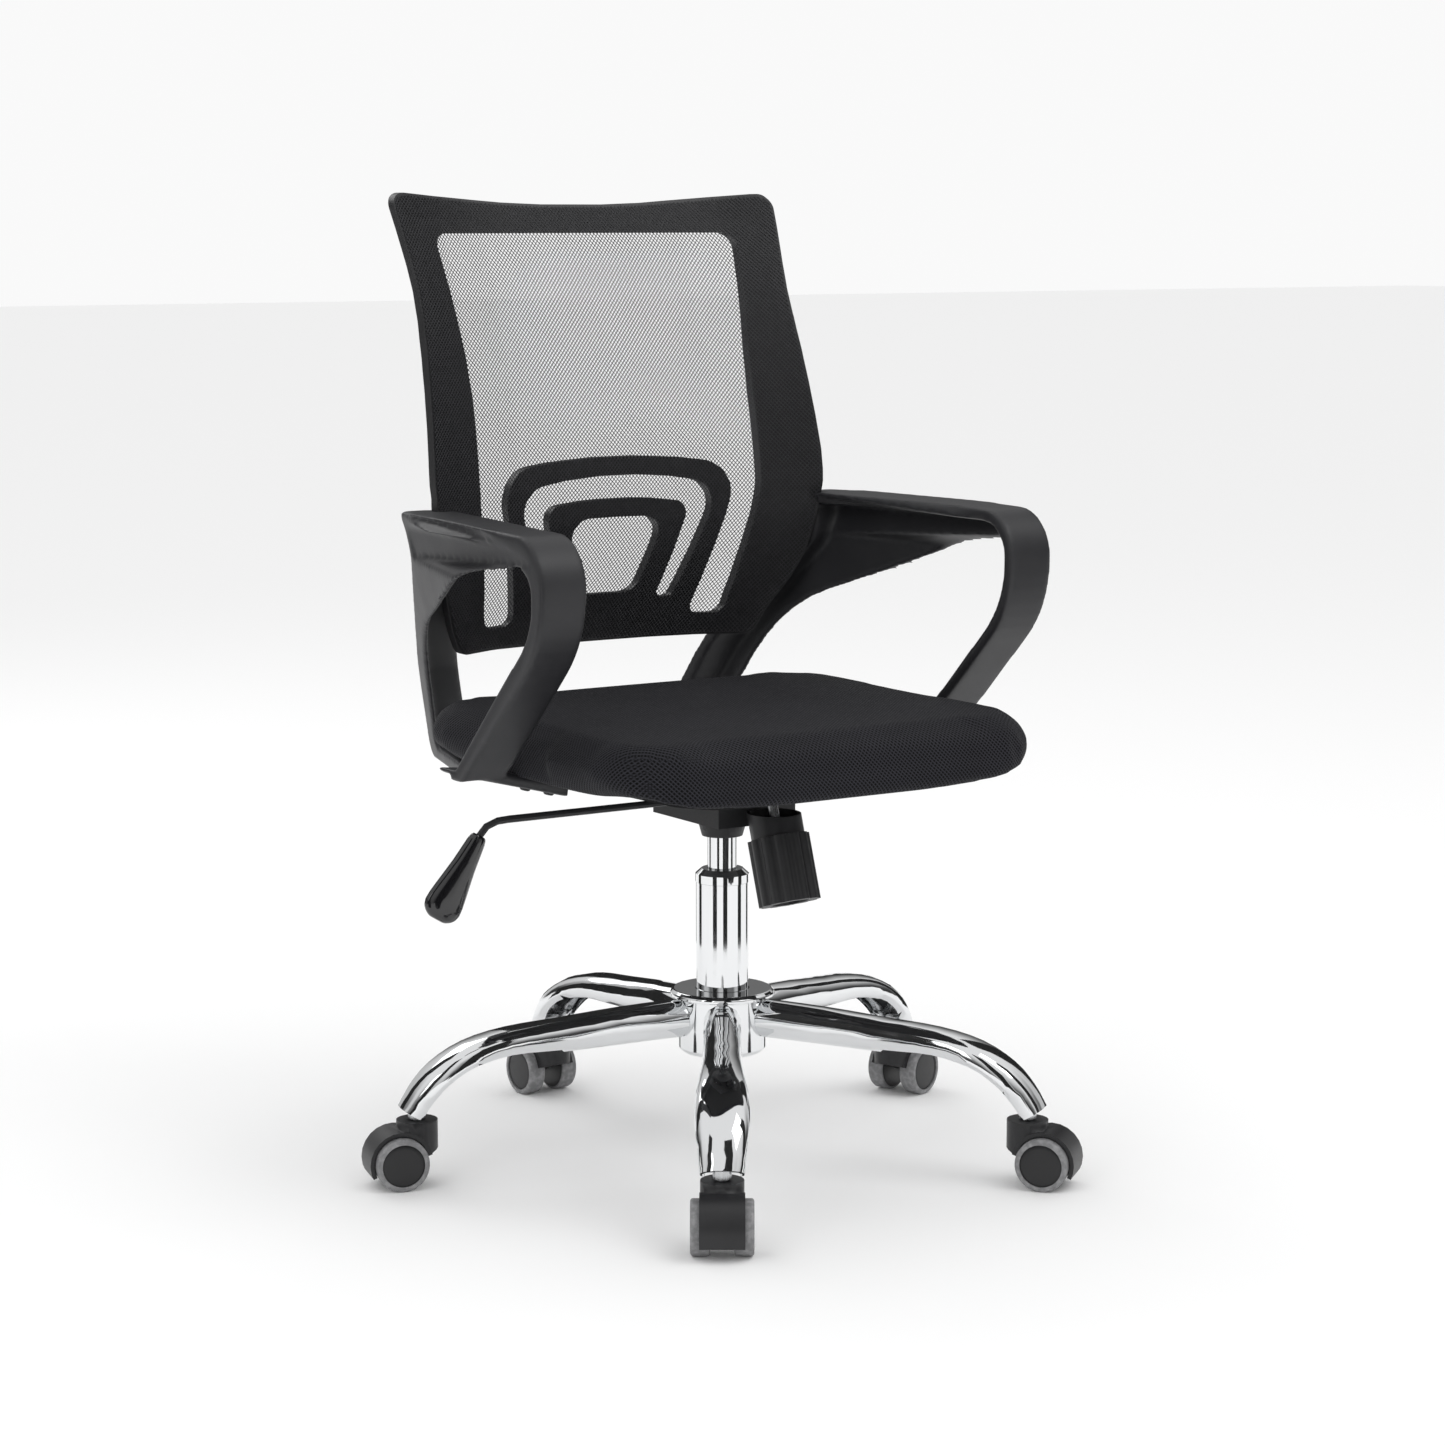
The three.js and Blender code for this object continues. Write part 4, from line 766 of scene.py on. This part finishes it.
def screw_head():
    """A button head with a hexagon socket, standing on its own origin."""
    made = bmesh.new()
    shoulder_radius, shoulder_height = SCREW_SHOULDER
    outline = [
        (SCREW_RADIUS, 0, False),
        (SCREW_RADIUS, SCREW_HEIGHT * SCREW_WALL, False),
        (SCREW_RADIUS * shoulder_radius, SCREW_HEIGHT * shoulder_height, False),
        (SCREW_SOCKET * SCREW_RIM, SCREW_HEIGHT, False),
        (SCREW_SOCKET, SCREW_HEIGHT, True),
        (SCREW_SOCKET, SCREW_HEIGHT - SCREW_SOCKET_DEPTH, True),
    ]
    half_side = TURN / 12  # of a hexagon, as an angle
    rings = []
    for radius, height, hexagon in outline:
        ring = []
        for k in range(SCREW_STEPS):
            angle = TURN * k / SCREW_STEPS
            within = (angle + half_side) % (half_side * 2) - half_side
            reach = radius * math.cos(half_side) / math.cos(within) if hexagon else radius
            ring.append(made.verts.new((reach * math.cos(angle), reach * math.sin(angle), height)))
        rings.append(ring)
    for first, second in zip(rings, rings[1:]):
        for k in range(SCREW_STEPS):
            after = (k + 1) % SCREW_STEPS
            made.faces.new((first[k], first[after], second[after], second[k]))
    made.faces.new(rings[0])
    made.faces.new(rings[-1])
    bmesh.ops.recalc_face_normals(made, faces=made.faces)
    mesh = bpy.data.meshes.new("screw")
    made.to_mesh(mesh)
    made.free()
    return new_object("screw", mesh)


def screws(name, node, spots, towards):
    """Screws where lines through the spots meet the node, driven along the given direction."""
    surface = surface_of(node)
    travel = Vector(towards)
    found = [surface.ray_cast(Vector(spot) - travel * SCREW_SEARCH, travel) for spot in spots]
    found = [hit for hit in found if hit[0]]
    mesh = bpy.data.meshes.new(name)
    mesh.from_pydata([hit[0] for hit in found], [], [])
    facing = mesh.attributes.new("facing", "FLOAT_VECTOR", "POINT")
    for entry, hit in zip(facing.data, found):
        entry.vector = hit[1] if hit[1].dot(travel) < 0 else -hit[1]
    piece = new_object(name, mesh, FINISHES["black_steel"])
    head = screw_head()
    grown(piece, screw_tree(), {"Screw": head, "Material": FINISHES["black_steel"]})
    bpy.data.objects.remove(head)
    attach(piece, body_of(node))


def armrest_spots(sign):
    """Four spots under one armrest's feet."""
    low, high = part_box("column_tube")
    column = low.lerp(high, 0.5)
    across = [column.x + sign * distance for distance in SCREWS_ACROSS]
    back = [column.y + distance for distance in SCREWS_BACK]
    return [(x, y, SCREW_LEVEL) for x in across for y in back]


def plate_spots():
    """The seat plate's four corners."""
    low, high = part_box("seat_plate")
    across = (low.x + SCREW_MARGIN, high.x - SCREW_MARGIN)
    back = (low.y + SCREW_MARGIN, high.y - SCREW_MARGIN)
    return [(x, y, low.z) for x in across for y in back]


# The chair

for name, node in frame["nodes"].items():
    node.data.materials[0] = FINISHES[SLOTS[name]]

eased("base_hub", HUB_EDGE, HUB_EDGE_ANGLE)
for name in numbered("leg"):
    eased(name, edge_angle=LEG_EDGE_ANGLE)
for name in ["column_tube", "column_cap", "pressure_cylinder", "piston_rod", *numbered("stem_socket")]:
    eased(name)
for name in ["mechanism_housing", "seat_plate", "spring_cover", "lever_rod", *numbered("caster_hood")]:
    eased(name)
eased("tension_knob", edge_angle=KNOB_EDGE_ANGLE)
moulded("lever_handle", HANDLE_GRAIN, HANDLE_PASSES)
for name in ["armrest_left", "armrest_right"]:
    moulded(name, ARM_GRAIN, ARM_PASSES)
eased("back_frame", FRAME_EDGE)
covered_pan()
for side in ("left", "right"):
    for number in range(1, 6):
        wheel(side, number)

upwards = (0, 0, 1)
for side, sign in (("left", 1), ("right", -1)):
    screws(f"screws_{side}", f"armrest_{side}", armrest_spots(sign), upwards)
screws("screws_plate", "seat_plate", plate_spots(), upwards)

width, length, area = cloth_cut()
cloth = back_cloth()
seat_cushion()

# Surroundings


def floor():
    """A wide pale floor."""
    mesh = bpy.data.meshes.new("floor")
    corners = [(-1, -1), (1, -1), (1, 1), (-1, 1)]
    points = [(x * FLOOR_REACH, y * FLOOR_REACH, 0) for x, y in corners]
    mesh.from_pydata(points, [], [(0, 1, 2, 3)])
    piece = new_object("floor", mesh, Finish("studio_floor", (0.93, 0.93, 0.93), 1).material)


def studio_world():
    """A white room to look at, whose reflections darken towards the horizon and in upright bands."""
    world = bpy.data.worlds.new("studio")
    world.use_nodes = True
    nodes = Nodes(world.node_tree)
    direction = nodes.value("ShaderNodeTexCoord", output="Generated")
    parts = nodes.add("ShaderNodeSeparateXYZ", values=[(0, direction)])
    x, y, z = [Value(nodes, part) for part in parts.outputs]
    bands = (y.math("ARCTAN2", y, x) * ROOM_BANDS).sine()
    above = z.smooth(0.05, 0.75)
    banded = bands.smooth(-0.2, 0.9) * (1 - above) * BAND_GLOW
    mirrored = above * SKY_GLOW + banded + LEAST_GLOW
    path = nodes.add("ShaderNodeLightPath")
    glossy = Value(nodes, path.outputs["Is Glossy Ray"])
    strength = glossy * mirrored + (1 - glossy) * ROOM_LIGHT
    background = world.node_tree.nodes["Background"]
    nodes.feed(background.inputs["Strength"], strength)
    nodes.feed(background.inputs["Color"], (1, 1, 1, 1))
    bpy.context.scene.world = world


def flags():
    """Dark cards around the chair that show only in its reflections."""
    column = (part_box("column_tube")[0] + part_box("column_tube")[1]) / 2
    points, faces = [], []
    for degrees in FLAG_ANGLES:
        out = Vector((math.sin(math.radians(degrees)), -math.cos(math.radians(degrees)), 0))
        aside = Vector((-out.y, out.x, 0)) * FLAG_WIDTH / 2
        foot = Vector((column.x, column.y, 0)) + out * FLAG_DISTANCE
        top = Vector((0, 0, FLAG_HEIGHT))
        faces.append(tuple(len(points) + k for k in range(4)))
        points += [foot - aside, foot + aside, foot + aside + top, foot - aside + top]
    mesh = bpy.data.meshes.new("flags")
    mesh.from_pydata(points, [], faces)
    piece = new_object("flags", mesh, Finish("flag", (0.01, 0.01, 0.01), 1).material)
    piece.visible_camera = piece.visible_diffuse = piece.visible_shadow = False


def softbox(name, place, aim, size, power):
    light = bpy.data.lights.new(name, "AREA")
    light.size = size
    light.energy = power
    lamp = bpy.data.objects.new(name, light)
    lamp.location = place
    lamp.rotation_euler = (Vector(aim) - Vector(place)).to_track_quat("-Z", "Y").to_euler()
    bpy.context.scene.collection.objects.link(lamp)


floor()
studio_world()
flags()
seat = (0, 0, 0.5)
softbox("key", (1.2, -1.8, 3.2), seat, 2, 24)
softbox("fill", (-2.8, -1.2, 1.9), seat, 1.6, 10)
softbox("rim", (-0.4, 2.8, 2.6), seat, 1.8, 14)
bpy.context.scene.view_settings.view_transform = "Standard"

camera = bpy.data.objects.new("camera", bpy.data.cameras.new("camera"))
camera.data.lens = 86.53
camera.data.sensor_width = 36
camera.location = (-1.766, -2.747, 0.898)
camera.rotation_euler = (math.radians(81.68), 0, math.radians(-33))
bpy.context.scene.collection.objects.link(camera)
bpy.context.scene.camera = camera
